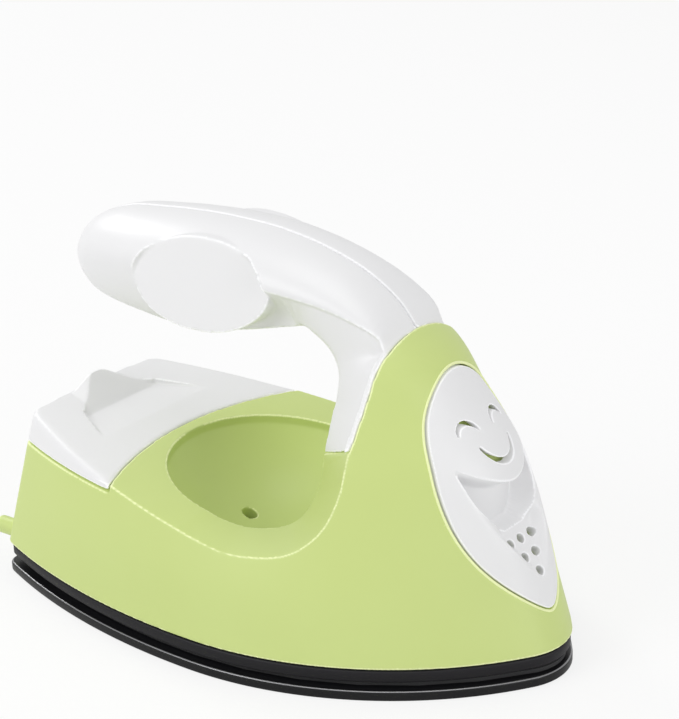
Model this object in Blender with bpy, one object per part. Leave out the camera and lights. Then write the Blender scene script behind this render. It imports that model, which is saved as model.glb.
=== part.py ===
# Mini craft iron: teardrop soleplate, green hull with a round dish, two-part handle and slotted nose cover.
# Lengths are metres. Shapes are drawn about the middle of the soleplate, nose towards +X, sole face at z = 0,
# and hang from one empty that centres the whole iron, heel pegs included, over the origin.
import math

import bmesh
import bpy
from mathutils import Vector

MM = 0.001
CLEARANCE = 0.3 * MM
OVERRUN = 2.0 * MM
TINY_SHARE = 0.02

# Soleplate and the plan outline that every layer follows
SOLE_LENGTH = 100.0 * MM
SOLE_WIDTH = 63.7 * MM
SOLE_THICKNESS = 1.7 * MM
SOLE_EDGE = 0.45 * MM
NOSE_RADIUS = 10.0 * MM
HEEL_WIDTH = 42.4 * MM
HEEL_CORNER = 2.4 * MM
WIDEST_SHARE = -0.015
GASKET_THICKNESS = 0.65 * MM
GASKET_INSET = 1.7 * MM
SKIRT_THICKNESS = 2.05 * MM
SKIRT_INSET = 0.9 * MM
SKIRT_CHAMFER = 0.6 * MM
RING_INSET = 6.4 * MM

# Hull: one row per height, as shares of body height, half length, roundness of the nose and half width.
# A nose roundness of 0 is that of the soleplate, and 1 is a half circle as wide as the hull.
BODY_HEIGHT = 53.1 * MM
BODY_WALL = 1.8 * MM
HEEL_LEAN_SHARE = 0.11
HEEL_TAPER_SHARE = 0.242
HULL_SHARES = (
    (0.099, 0.976, 0.013, 0.992),
    (0.264, 0.922, 0.083, 0.948),
    (0.452, 0.862, 0.198, 0.851),
    (0.640, 0.777, 0.342, 0.738),
    (0.791, 0.646, 0.510, 0.634),
    (0.904, 0.562, 0.695, 0.528),
    (1.000, 0.433, 0.877, 0.415),
    (1.100, 0.260, 0.985, 0.270),
)

# Top of the hull: saddle plane, round dish and the pedestal that climbs in front of it,
# with the heights that follow the hull as shares of body height
SADDLE_SHARE = 0.3955
SADDLE_SLOPE_SHARE = 0.155
DISH_RADIUS = 19.5 * MM
DISH_X = -5.3 * MM
DISH_STEP = 1.15 * MM
BOWL_BOTTOM = 10.3 * MM
BOWL_ROUND_SHARE = 0.855
PEDESTAL_BACK_SHARE = 0.6149
PEDESTAL_FRONT_SHARE = 0.7043
RIM_X = 20.8 * MM
RIM_LEAN_SHARE = 0.075
RIM_WEB = 1.2 * MM
PLANE_ANGLE = 92.0
LEDGE_ANGLE = 130.0
RIM_ANGLE = 33.4
SIDE_ANGLE = 45.0
# Rows of angle from +X, then inner and outer height of the rim band as shares of the pedestal's heights
BAND_SHARES = (
    (0.0, 1.000, 1.000),
    (32.6, 1.000, 1.000),
    (33.3, 0.965, 1.000),
    (34.0, 0.900, 0.982),
    (35.0, 0.850, 0.943),
    (36.5, 0.807, 0.869),
    (39.5, 0.750, 0.767),
    (42.0, 0.711, 0.706),
    (45.0, 0.677, 0.655),
    (50.0, 0.646, 0.599),
    (54.0, 0.634, 0.575),
    (59.0, 0.627, 0.560),
    (69.0, 0.625, 0.548),
    (82.0, 0.645, 0.567),
    (92.0, 0.671, 0.588),
)
BAND_ANGLES = (0, 7, 14, 20, 25, 29, 32.6, 33.3, 34, 35, 36.5, 39.5, 42, 45, 50, 55, 61, 68, 76, 84, 92)
BOWL_RING_SHARES = (0.3, 0.55, 0.78, 0.92, 1.0)

# Heel pegs and the screw in the dish
PEG_REACH = 5.0 * MM
PEG_RADIUS = 1.85 * MM
PEG_INSET = 2.7 * MM
PEG_Z = 6.4 * MM
DISH_SCREW_X = -13.2 * MM
DISH_SCREW_BORE = 1.45 * MM

# Rear cover and cord hood
COVER_ARC = 62.0 * MM
COVER_BAND = 2.2 * MM
COVER_DEPTH = 5.4 * MM
LEDGE_DEPTH = 1.5 * MM
SCOOP_DEPTH = 1.0 * MM
SCOOP_HALF_WIDTH = 9.2 * MM
SCOOP_SPREAD_SHARE = 1.6
HOOD_LENGTH = 5.9 * MM
HOOD_HALF_WIDTH = 7.8 * MM
HOOD_RISE = 2.5 * MM
HOOD_RIDGE = 1.5 * MM
HOOD_WALL = 1.3 * MM
GLAND_RISE = 2.85 * MM
GLAND_HOLE = 2.3 * MM
CORD_BORE = 1.2 * MM
GLAND_FLANGE = 0.8 * MM

# Nose cover
COVER_HALF_WIDTH = 11.8 * MM
COVER_HALF_HEIGHT_SHARE = 0.3522
COVER_MIDDLE_SHARE = 0.5593
COVER_TAPER_SHARE = 0.47
COVER_TAPER_POWER = 3.5
COVER_WALL = 2.0 * MM
POCKET_WALL = 1.2 * MM
POCKET_DEPTH = 2.3 * MM
POCKET_HALF_WIDTH = 8.4 * MM
RAMP_DEPTH = 2.785 * MM
RAMP_SLOPE_SHARE = 1.275
VENT_BORE = 0.8 * MM
VENT_PITCH = 2.89 * MM
SLOT_WIDTH = 0.9 * MM
EYE_RADIUS = 2.1 * MM
EYE_Y = 3.85 * MM
EYE_SPAN = (20.0, 160.0)
SMILE_RADIUS = 4.2 * MM
SMILE_SPAN = (203.0, 337.0)
# Heights on the nose cover, from its middle, as shares of its half height
POCKET_TOP_SHARE = 0.1444
RAMP_SHARE = -0.4251
EYE_SHARE = 0.4599
SMILE_SHARE = 0.4652

# Handle
HANDLE_RISE = 11.8 * MM
SHOULDER_DROP = 3.2 * MM
HANDLE_WIDTH = 24.6 * MM
HANDLE_WALL = 2.0 * MM
# Rows of x as a share of half length, then top, bottom and edge height from the shoulder as shares
# of the height from there to the handle's top, and half width as a share of handle width
HANDLE_SHARES = (
    (-0.960, 0.299, 0.161, 0.230, 0.085),
    (-0.942, 0.446, 0.031, 0.251, 0.205),
    (-0.910, 0.559, -0.056, 0.273, 0.285),
    (-0.860, 0.676, -0.138, 0.316, 0.357),
    (-0.780, 0.801, -0.229, 0.368, 0.415),
    (-0.694, 0.888, -0.307, 0.420, 0.451),
    (-0.580, 0.939, -0.376, 0.468, 0.476),
    (-0.484, 0.974, -0.410, 0.494, 0.488),
    (-0.304, 1.000, -0.346, 0.533, 0.500),
    (-0.140, 0.987, -0.198, 0.541, 0.488),
    (-0.010, 0.935, -0.073, 0.528, 0.460),
    (0.092, 0.866, -0.012, 0.498, 0.435),
    (0.228, 0.719, 0.027, 0.429, 0.402),
    (0.330, 0.537, 0.039, 0.329, 0.375),
    (0.400, 0.342, 0.022, 0.221, 0.345),
    (0.4104, 0.290, 0.014, 0.187, 0.340),
)
KEEL_SHARE = 0.55
PAD_X = -13.0 * MM
PAD_SHARE = 0.4267
PAD_HALF_LENGTH = 13.3 * MM
PAD_HALF_HEIGHT = 7.4 * MM
PAD_FACE = 10.65 * MM
PAD_LEAN_SHARE = 0.25
PAD_EDGE = 0.12 * MM
# Rows of height share of body height, then half width of the pillar's back as a share of the dish radius
PILLAR_SHARES = (
    (0.560, 0.530),
    (0.615, 0.530),
    (0.685, 0.505),
    (0.787, 0.451),
    (0.878, 0.436),
    (0.925, 0.477),
    (0.974, 0.540),
)
PLUG_LENGTH = 3.2 * MM
FOOT_GAP = 0.4 * MM
PILLAR_POCKET_WALL = 2.4 * MM
PILLAR_POCKET_BASE = 1.2 * MM
PILLAR_POCKET_ROOF = 4.1 * MM

# Screws
SCREW_RADIUS = 0.8 * MM
HEAD_RADIUS = 1.6 * MM
HEAD_HEIGHT = 1.0 * MM
SLOT_DEPTH = 0.4 * MM
BOSS_RADIUS = 2.8 * MM
# x, and height from the shoulder as a share of the height to the handle's top
HANDLE_SCREW_SHARES = ((-0.62, 0.273), (0.05, 0.373))
HANDLE_SCREW_HEAD_Y = 5.0 * MM
HANDLE_SCREW_TIP_Y = -6.0 * MM
FOOT_SCREW_X = 17.8 * MM
FOOT_SCREW_Y = 5.2 * MM
FOOT_BOSS_DROP = 4.05 * MM
FOOT_SCREW_LENGTH = 11.8 * MM
SKIRT_BOSS_HEIGHT = 5.0 * MM
SKIRT_SCREW_REACH = 3.8 * MM
SKIRT_SCREW_INSET = 3.9 * MM
SKIRT_SCREW_FROM_HEEL = 10.0 * MM
CENTRE_HEAD_SEAT = 7.6 * MM
CENTRE_HEAD_RADIUS = 1.1 * MM
CENTRE_SCREW_RADIUS = 0.6 * MM
BLIND_FLOOR = 0.5 * MM

# Heater stack
MICA_THICKNESS = 0.3 * MM
WIRE_RADIUS = 0.18 * MM
CLAMP_THICKNESS = 0.9 * MM
STACK_INSET = 8.4 * MM
STACK_FROM_HEEL = 15.0 * MM
RUN_FIRST = 4.0 * MM
RUN_MARGIN = 2.7 * MM
RUN_FROM_NOSE = 19.0 * MM
RUN_FRONT_STEP = 6.5 * MM
RUN_FROM_HEEL = 18.0 * MM
WIRE_END_FROM_HEEL = 12.4 * MM
WIRE_END_Y = 3.4 * MM
WIRE_END_Z = 7.0 * MM
CLAMP_SCREW_INSET = 10.7 * MM
CLAMP_SCREW_SHARES = (-0.54, 0.4)

# Terminal block, fuse and leads
BLOCK_LENGTH = 6.0 * MM
BLOCK_WIDTH = 16.0 * MM
BLOCK_HEIGHT = 7.5 * MM
BLOCK_FROM_HEEL = 7.4 * MM
BLOCK_BOTTOM = 5.2 * MM
TAB_WIDTH = 2.4 * MM
TAB_THICKNESS = 0.5 * MM
TAB_LENGTH = 3.6 * MM
TAB_Y = 4.6 * MM
FUSE_RADIUS = 1.5 * MM
FUSE_LENGTH = 8.0 * MM
FUSE_X = -23.0 * MM
FUSE_GAP = 1.0 * MM
FUSE_CLIP_WIDTH = 3.0 * MM
CLIP_THICKNESS = 0.5 * MM
LEAD_RADIUS = 0.65 * MM

# Thermostat
STAT_FROM_NOSE = 20.5 * MM
CUP_RADIUS = 6.4 * MM
CUP_DEPTH = 1.9 * MM
CUP_WALL = 0.6 * MM
DISC_THICKNESS = 0.3 * MM
BASE_HEIGHT = 4.2 * MM
PIN_RADIUS = 0.7 * MM
BLADE_LENGTH = 9.6 * MM
BLADE_WIDTH = 2.2 * MM
BLADE_THICKNESS = 0.3 * MM
POST_SIZE = 1.6 * MM
POST_HEIGHT = 1.0 * MM

HALF_LENGTH = SOLE_LENGTH / 2
HALF_WIDTH = SOLE_WIDTH / 2
GASKET_BOTTOM = SOLE_THICKNESS + CLEARANCE
SKIRT_BOTTOM = GASKET_BOTTOM + GASKET_THICKNESS + CLEARANCE
SKIRT_TOP = SKIRT_BOTTOM + SKIRT_THICKNESS
BODY_BOTTOM = SKIRT_TOP + CLEARANCE
COVER_APEX = DISH_X - DISH_RADIUS - COVER_BAND
SADDLE_HEIGHT = BODY_HEIGHT * SADDLE_SHARE
PEDESTAL_BACK = BODY_HEIGHT * PEDESTAL_BACK_SHARE
PEDESTAL_FRONT = BODY_HEIGHT * PEDESTAL_FRONT_SHARE
HANDLE_TOP = BODY_HEIGHT + HANDLE_RISE
SHOULDER = BODY_HEIGHT - SHOULDER_DROP
PAD_Z = SHOULDER + (HANDLE_TOP - SHOULDER) * PAD_SHARE
COVER_SEAM = SADDLE_HEIGHT + SADDLE_SLOPE_SHARE * HALF_LENGTH - COVER_DEPTH
COVER_MIDDLE = BODY_HEIGHT * COVER_MIDDLE_SHARE
COVER_HALF_HEIGHT = BODY_HEIGHT * COVER_HALF_HEIGHT_SHARE
POCKET_TOP = COVER_MIDDLE + COVER_HALF_HEIGHT * POCKET_TOP_SHARE
RAMP_Z = COVER_MIDDLE + COVER_HALF_HEIGHT * RAMP_SHARE
EYE_Z = COVER_MIDDLE + COVER_HALF_HEIGHT * EYE_SHARE
SMILE_Z = COVER_MIDDLE + COVER_HALF_HEIGHT * SMILE_SHARE
FOOT_BOSS_BOTTOM = PEDESTAL_BACK - FOOT_BOSS_DROP
FOOT_SCREW_TIP = FOOT_BOSS_BOTTOM + FOOT_SCREW_LENGTH
BLOCK_X = BLOCK_FROM_HEEL - HALF_LENGTH
STAT_X = HALF_LENGTH - STAT_FROM_NOSE
PEG_Y = HEEL_WIDTH / 2 - PEG_INSET
NOSE_SHARE = NOSE_RADIUS / HALF_WIDTH
MICA_BOTTOM = SOLE_THICKNESS + CLEARANCE
WIRE_Z = MICA_BOTTOM + MICA_THICKNESS + CLEARANCE + WIRE_RADIUS
UPPER_MICA = WIRE_Z + WIRE_RADIUS + CLEARANCE
CLAMP_BOTTOM = UPPER_MICA + MICA_THICKNESS + CLEARANCE
CLAMP_TOP = CLAMP_BOTTOM + CLAMP_THICKNESS
PILLAR_BACK = DISH_X + DISH_RADIUS

GREEN = (0.60, 0.70, 0.25)
WHITE = (0.86, 0.86, 0.88)
BLACK = (0.03, 0.03, 0.035)
STEEL = (0.55, 0.55, 0.56)
BRASS = (0.72, 0.53, 0.24)
MICA = (0.60, 0.50, 0.36)
CERAMIC = (0.78, 0.74, 0.66)

root = None


def clear_scene():
    for obj in list(bpy.data.objects):
        bpy.data.objects.remove(obj)


def colour(obj, name, rgb, roughness, metallic=0.0):
    paint = bpy.data.materials.get(name) or bpy.data.materials.new(name)
    paint.use_nodes = True
    shader = paint.node_tree.nodes["Principled BSDF"]
    shader.inputs["Base Color"].default_value = (*rgb, 1.0)
    shader.inputs["Roughness"].default_value = roughness
    shader.inputs["Metallic"].default_value = metallic
    obj.data.materials.clear()
    obj.data.materials.append(paint)


def steps(low, high, count):
    return [low + (high - low) * k / count for k in range(count + 1)]


# Monotone cubic through the rows of a table, level beyond both ends
def cubic(rows, at, column):
    places = [row[0] for row in rows]
    values = [row[column] for row in rows]
    if at <= places[0]:
        return values[0]
    if at >= places[-1]:
        return values[-1]
    k = max(j for j in range(len(places) - 1) if places[j] <= at)
    grades = [(values[j + 1] - values[j]) / (places[j + 1] - places[j]) for j in range(len(places) - 1)]

    def tangent(j):
        if j == 0 or j == len(places) - 1:
            return grades[min(j, len(grades) - 1)]
        before, after = grades[j - 1], grades[j]
        return 0.0 if before * after <= 0 else 2 * before * after / (before + after)

    span = places[k + 1] - places[k]
    t = (at - places[k]) / span
    return (
        values[k] * (1 + 2 * t) * (1 - t) ** 2
        + span * tangent(k) * t * (1 - t) ** 2
        + values[k + 1] * t * t * (3 - 2 * t)
        + span * tangent(k + 1) * t * t * (t - 1)
    )


def new_object(name, points, faces, parent=None):
    mesh = bpy.data.meshes.new(name)
    mesh.from_pydata([tuple(p) for p in points], [], faces)
    work = bmesh.new()
    work.from_mesh(mesh)
    bmesh.ops.recalc_face_normals(work, faces=work.faces)
    work.to_mesh(mesh)
    work.free()
    mesh.shade_smooth()
    mesh.set_sharp_from_angle(angle=math.radians(35))
    obj = bpy.data.objects.new(name, mesh)
    bpy.context.scene.collection.objects.link(obj)
    obj.parent = parent or root
    return obj


# Skin over rings of equal count, closed by a face at each end, or by a fan to a point where one is given
def loft(name, rings, first=None, last=None, parent=None):
    count = len(rings[0])
    points = [p for ring in rings for p in ring]
    faces = []
    for k in range(len(rings) - 1):
        for j in range(count):
            a, b = k * count + j, k * count + (j + 1) % count
            faces.append((a, b, b + count, a + count))
    top = (len(rings) - 1) * count
    if first is None:
        faces.append(tuple(range(count)))
    else:
        points.append(first)
        faces += [((j + 1) % count, j, len(points) - 1) for j in range(count)]
    if last is None:
        faces.append(tuple(top + j for j in range(count)))
    else:
        points.append(last)
        faces += [(top + j, top + (j + 1) % count, len(points) - 1) for j in range(count)]
    return new_object(name, points, faces, parent)


# Straight bar of a flat outline, along one axis
def prism(name, outline, axis, low, high, parent=None):
    def place(pair, at):
        return {"X": (at, *pair), "Y": (pair[0], at, pair[1]), "Z": (*pair, at)}[axis]

    return loft(name, [[place(p, low) for p in outline], [place(p, high) for p in outline]], parent=parent)


def box(name, low, high, parent=None):
    outline = [(low[0], low[1]), (high[0], low[1]), (high[0], high[1]), (low[0], high[1])]
    return prism(name, outline, "Z", low[2], high[2], parent)


# Turned piece from a profile of radius and height, standing at a place and pointing in a direction
def turned(name, profile, place, pointing=(0, 0, 1), sides=16, parent=None):
    rings = []
    for radius, height in profile:
        turn = [2 * math.pi * (k + 0.5) / sides for k in range(sides)]
        rings.append([(radius * math.cos(a), radius * math.sin(a), height) for a in turn])
    obj = loft(name, rings, parent=parent)
    obj.rotation_mode = "QUATERNION"
    obj.rotation_quaternion = Vector(pointing).to_track_quat("Z", "Y")
    obj.location = place
    return obj


def tool(obj):
    obj.hide_render = True
    obj.display_type = "WIRE"
    return obj


def boolean(target, other, operation="DIFFERENCE"):
    modifier = target.modifiers.new(operation.title() + " " + other.name, "BOOLEAN")
    modifier.operation = operation
    modifier.solver = "EXACT"
    modifier.object = tool(other)
    return target


# Nose x, nose radius, half width, tail x and half tail width of the hull at a height
def hull_sizes(z):
    share = z / BODY_HEIGHT
    rise = z - BODY_BOTTOM
    half = HALF_WIDTH * cubic(HULL_SHARES, share, 3)
    return (
        HALF_LENGTH * cubic(HULL_SHARES, share, 1),
        half * (NOSE_SHARE + (1 - NOSE_SHARE) * cubic(HULL_SHARES, share, 2)),
        half,
        -HALF_LENGTH + HEEL_LEAN_SHARE * rise,
        HEEL_WIDTH / 2 - HEEL_TAPER_SHARE * rise,
    )


SOLE_SIZES = (HALF_LENGTH, NOSE_RADIUS, HALF_WIDTH, -HALF_LENGTH, HEEL_WIDTH / 2)


# The teardrop's arcs: centre of the widest line, radius of the front side arc and its join to the nose arc
def arcs(sizes, inset):
    nose, nose_r, half, tail, tail_half = sizes
    nose, nose_r, half = nose - inset, nose_r - inset, half - inset
    tail, tail_half = tail + inset, tail_half - inset
    wide = WIDEST_SHARE * HALF_LENGTH
    lead = nose - nose_r - wide
    side_r = (lead**2 + half**2 - nose_r**2) / (2 * (half - nose_r))
    join = math.atan2(side_r - half, lead)
    run, drop = wide - tail, half - tail_half
    rear_r = (run**2 + drop**2) / (2 * drop)
    return nose, nose_r, half, tail, tail_half, wide, side_r, join, rear_r


def half_width(x, sizes, inset=0.0):
    nose, nose_r, half, tail, tail_half, wide, side_r, join, rear_r = arcs(sizes, inset)
    if x >= nose or x <= tail:
        return 0.0
    if x > nose - nose_r + nose_r * math.cos(join):
        return math.sqrt(max(nose_r**2 - (x - nose + nose_r) ** 2, 0.0))
    if x > wide:
        return half - side_r + math.sqrt(side_r**2 - (x - wide) ** 2)
    return half - rear_r + math.sqrt(rear_r**2 - (x - wide) ** 2)


# Closed teardrop outline, from the nose round the left side to the heel and back
def teardrop(sizes, inset=0.0, counts=(6, 6, 6, 3)):
    nose, nose_r, half, tail, tail_half, wide, side_r, join, rear_r = arcs(sizes, inset)
    corner = HEEL_CORNER
    points = [(nose - nose_r + nose_r * math.cos(a), nose_r * math.sin(a)) for a in steps(0, join, counts[0])]
    side = steps(join, math.pi / 2, counts[1])[1:]
    points += [(wide + side_r * math.cos(a), half - side_r + side_r * math.sin(a)) for a in side]
    end = math.asin((wide - tail - corner) / rear_r)
    rear = steps(0, end, counts[2])[1:]
    points += [(wide - rear_r * math.sin(a), half - rear_r + rear_r * math.cos(a)) for a in rear]
    (ax, ay), (bx, by), (cx, cy) = points[-1], (tail, tail_half), (tail, tail_half - corner)
    for t in steps(0, 1, counts[3])[1:]:
        p, q, r = (1 - t) ** 2, 2 * t * (1 - t), t * t
        points.append((p * ax + q * bx + r * cx, p * ay + q * by + r * cy))
    points.append((tail, 0.0))
    return points + [(x, -y) for x, y in reversed(points[1:-1])]


def layer(outline, z):
    return [(x, y, z) for x, y in outline]


def hull(name, inset, low, high, parent=None):
    heights = [low] + [h for h in HULL_LEVELS if low + CLEARANCE < h < high - CLEARANCE] + [high]
    return loft(name, [layer(teardrop(hull_sizes(z), inset), z) for z in heights], parent=parent)


HULL_LEVELS = [BODY_HEIGHT * share for share in (0.18, 0.27, 0.36, 0.45, 0.545, 0.64, 0.72, 0.79, 0.86, 0.93)]


# How far the hull's surface lies from the dish's axis at a height
def reach(z, angle):
    sizes = hull_sizes(z)
    near, far = 0.0, SOLE_LENGTH
    for _ in range(32):
        middle = (near + far) / 2
        x, y = DISH_X + middle * math.cos(angle), middle * math.sin(angle)
        if abs(y) < half_width(x, sizes):
            near = middle
        else:
            far = middle
    return near


def saddle(x):
    return SADDLE_HEIGHT - SADDLE_SLOPE_SHARE * x


def bowl(share, angle, wall):
    rim = saddle(DISH_X + DISH_RADIUS * math.cos(angle)) - DISH_STEP
    k = BOWL_ROUND_SHARE
    curve = (1 - math.sqrt(1 - (k * share) ** 2)) / (1 - math.sqrt(1 - k * k))
    return BOWL_BOTTOM + (rim - BOWL_BOTTOM) * curve - wall


# Outer end of the rim band on one spoke: distance from the dish's axis and height, past the hull's side
def band_end(degrees, inner_r, inner_z, wall, rim_x):
    angle = math.radians(degrees)
    if degrees >= PLANE_ANGLE:
        distance = reach(saddle(DISH_X - DISH_RADIUS), angle) + OVERRUN
        return distance, saddle(DISH_X + distance * math.cos(angle)) - wall
    lip_z = PEDESTAL_FRONT * cubic(BAND_SHARES, degrees, 2)
    lip_r = reach(lip_z, angle) if degrees > RIM_ANGLE else (RIM_X - DISH_X) / math.cos(angle)
    distance = lip_r + 2 * OVERRUN
    if degrees <= SIDE_ANGLE:
        distance = (rim_x - DISH_X) / math.cos(angle)
    grade = (lip_z - wall - inner_z) / (lip_r - inner_r)
    return distance, inner_z + grade * (distance - inner_r)


# All the space above the hull's top surface; a wall moves it down and out, for the shell's inside
def sky(name, wall, rim_x, ledge=0.0):
    half = [float(a) for a in BAND_ANGLES] + steps(PLANE_ANGLE, 180.0, 9)[1:]
    turns = half + [-a for a in reversed(half[1:-1])]
    rings = [[] for _ in range(len(BOWL_RING_SHARES) + 3)]
    ceiling = HANDLE_TOP + OVERRUN
    for degrees in turns:
        angle, size = math.radians(degrees), abs(degrees)
        inner_r = DISH_RADIUS + wall
        if size >= PLANE_ANGLE:
            inner_z = saddle(DISH_X + inner_r * math.cos(angle)) - wall
        else:
            inner_z = PEDESTAL_BACK * cubic(BAND_SHARES, size, 1) - wall
        far_r, far_z = band_end(size, inner_r, inner_z, wall, rim_x)
        sink = ledge * min(max((size - PLANE_ANGLE) / (LEDGE_ANGLE - PLANE_ANGLE), 0.0), 1.0)
        inner_z, far_z = inner_z - sink, far_z - sink
        spoke = [(inner_r * share, bowl(share, angle, wall)) for share in BOWL_RING_SHARES]
        spoke += [(inner_r, inner_z), (far_r, far_z), (far_r, ceiling)]
        for ring, (radius, z) in zip(rings, spoke):
            ring.append([DISH_X + radius * math.cos(angle), radius * math.sin(angle), z])
        if size <= SIDE_ANGLE:
            rings[-1][-1][0] = rim_x + RIM_LEAN_SHARE * (ceiling - PEDESTAL_FRONT)
    floor = (DISH_X, 0.0, BOWL_BOTTOM - wall)
    return loft(name, rings, first=floor, last=(DISH_X, 0.0, ceiling))


def cover_arc(back):
    middle = COVER_APEX + COVER_ARC
    ys = steps(-HALF_WIDTH - OVERRUN, HALF_WIDTH + OVERRUN, 11)
    return [(middle - math.sqrt(COVER_ARC**2 - y * y) - back, y) for y in ys]


def heel_region(name, shift, low):
    far = -HALF_LENGTH - PEG_REACH - OVERRUN
    outline = cover_arc(shift) + [(far, HALF_WIDTH + OVERRUN), (far, -HALF_WIDTH - OVERRUN)]
    return prism(name, outline, "Z", low, HANDLE_TOP)


# Oval of the nose cover in the front view, drawn in towards the bottom
def nose_oval(grow, count=36):
    points = []
    for k in range(count):
        a = 2 * math.pi * k / count
        depth = max(-math.sin(a), 0.0)
        narrow = 1 - COVER_TAPER_SHARE * depth**COVER_TAPER_POWER
        y = (COVER_HALF_WIDTH * narrow + grow) * math.cos(a)
        points.append((y, COVER_MIDDLE + (COVER_HALF_HEIGHT + grow) * math.sin(a)))
    return points


# Curved slot with round ends, as an outline in the front view
def slot_arc(middle, radius, first, last, width, bends=8):
    def ring(r, a):
        return (middle[0] + r * math.cos(a), middle[1] + r * math.sin(a))

    turns = [math.radians(a) for a in steps(first, last, bends)]
    outline = [ring(radius + width / 2, a) for a in turns]
    for turn, way in ((turns[-1], 1), (turns[0], -1)):
        cy, cz = ring(radius, turn)
        for a in steps(turn if way > 0 else turn + math.pi, turn + math.pi * (1 if way > 0 else 2), 4)[1:-1]:
            outline.append((cy + width / 2 * math.cos(a), cz + width / 2 * math.sin(a)))
        if way > 0:
            outline += [ring(radius - width / 2, b) for b in reversed(turns)]
    return outline


def ramp_x(z):
    return hull_sizes(RAMP_Z)[0] - RAMP_DEPTH - (z - RAMP_Z) / RAMP_SLOPE_SHARE


# Pocket under the smile: flat back, then a ramp that runs out to the surface
def pocket(name, grow):
    toe = RAMP_Z - 0.34 * RAMP_Z
    flat = hull_sizes(POCKET_TOP)[0] - POCKET_DEPTH
    rows = []
    shares = ((0.0, 0.07), (0.23, 0.38), (0.43, 0.62), (0.6, 0.81), (0.71, 0.9), (0.87, 0.98), (1.0, 1.0))
    for share, width_share in shares:
        z = toe + (POCKET_TOP - toe) * share
        rows.append((z, POCKET_HALF_WIDTH * width_share + grow, max(flat, ramp_x(z)) - grow))
    rows[0] = (rows[0][0] - grow, rows[0][1], rows[0][2])
    rows[-1] = (rows[-1][0] + grow, rows[-1][1], rows[-1][2])
    front = HALF_LENGTH + OVERRUN
    rings = [[(x, -h, z), (front, -h, z), (front, h, z), (x, h, z)] for z, h, x in rows]
    return loft(name, rings)


def make_body():
    body = hull("body_shell", 0.0, BODY_BOTTOM, BODY_HEIGHT + OVERRUN)
    inside = hull("cut_inside", BODY_WALL, BODY_BOTTOM - OVERRUN, BODY_HEIGHT - BODY_WALL / 2)
    boolean(inside, sky("cut_under_sky", BODY_WALL, RIM_X + RIM_WEB, LEDGE_DEPTH))
    boolean(body, inside)
    dish_boss = [(BOSS_RADIUS, BODY_BOTTOM + CLEARANCE), (BOSS_RADIUS, SADDLE_HEIGHT)]
    boolean(body, turned("join_dish_boss", dish_boss, (DISH_SCREW_X, 0, 0)), "UNION")
    for way in (-1, 1):
        boss = [(BOSS_RADIUS, FOOT_BOSS_BOTTOM), (BOSS_RADIUS, PEDESTAL_FRONT + OVERRUN)]
        place = (FOOT_SCREW_X, way * FOOT_SCREW_Y, 0)
        boolean(body, turned(f"join_foot_boss_{way + 1}", boss, place), "UNION")
    boolean(body, sky("cut_sky", 0.0, RIM_X))
    low, high = PEDESTAL_FRONT - CLEARANCE, BODY_HEIGHT - BODY_WALL / 2
    mouth = hull("cut_handle_mouth", BODY_WALL - CLEARANCE, low, high)
    slab = box(
        "cut_mouth_slab",
        (RIM_X - OVERRUN, -HALF_WIDTH, PEDESTAL_BACK),
        (RIM_X + RIM_WEB + 1.3 * OVERRUN, HALF_WIDTH, HANDLE_TOP),
    )
    boolean(body, boolean(mouth, slab, "INTERSECT"))
    boolean(body, heel_region("cut_cover_seat", 0.0, COVER_SEAM - CLEARANCE))
    front = HALF_LENGTH + OVERRUN
    boolean(body, prism("cut_nose_mouth", nose_oval(0.0), "X", RIM_X + RIM_WEB + 2 * OVERRUN, front))

    bores = [
        (SCREW_RADIUS + CLEARANCE, BODY_BOTTOM - OVERRUN),
        (SCREW_RADIUS + CLEARANCE, CENTRE_HEAD_SEAT),
        (DISH_SCREW_BORE, CENTRE_HEAD_SEAT),
        (DISH_SCREW_BORE, SADDLE_HEIGHT),
    ]
    boolean(body, turned("cut_dish_screw", bores, (DISH_SCREW_X, 0, 0)))
    for side in (-1, 1):
        tag = "left" if side > 0 else "right"
        x, y = FOOT_SCREW_X, side * FOOT_SCREW_Y
        bore = SCREW_RADIUS + CLEARANCE
        hole = [(bore, FOOT_BOSS_BOTTOM - OVERRUN), (bore, HANDLE_TOP)]
        boolean(body, turned("cut_foot_bore_" + tag, hole, (x, y, 0), sides=14))
    for tag, (x, y) in skirt_screws().items():
        boss = [(BOSS_RADIUS, BODY_BOTTOM + CLEARANCE), (BOSS_RADIUS, BODY_BOTTOM + SKIRT_BOSS_HEIGHT)]
        peg = turned("join_skirt_boss_" + tag, boss, (x, y, 0))
        trim = hull("trim_boss_" + tag, BODY_WALL / 2, BODY_BOTTOM - OVERRUN, HANDLE_TOP / 2)
        boolean(peg, trim, "INTERSECT")
        boolean(body, peg, "UNION")
        bore = SCREW_RADIUS + CLEARANCE
        top = SKIRT_TOP + SKIRT_SCREW_REACH + CLEARANCE
        hole = [(bore, BODY_BOTTOM - OVERRUN), (bore, top)]
        boolean(body, turned("cut_skirt_bore_" + tag, hole, (x, y, 0)))
    for side in (-1, 1):
        tag = "left" if side > 0 else "right"
        start = -HALF_LENGTH + BODY_WALL / 2
        length = PEG_REACH + BODY_WALL / 2
        peg_profile = [
            (PEG_RADIUS, 0),
            (PEG_RADIUS, length - SOLE_EDGE),
            (PEG_RADIUS - SOLE_EDGE, length),
        ]
        peg = turned("join_heel_peg_" + tag, peg_profile, (start, side * PEG_Y, PEG_Z), (-1, 0, 0))
        boolean(body, peg, "UNION")
    lip = (-HALF_LENGTH - CLEARANCE, HALF_WIDTH)
    corner = (-HALF_LENGTH + PEG_REACH, lip[1], BODY_BOTTOM - CLEARANCE / 2)
    boolean(body, box("cut_peg_root", (lip[0], -lip[1], 0), corner))
    colour(body, "green body plastic", GREEN, 0.42)
    return body


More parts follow.
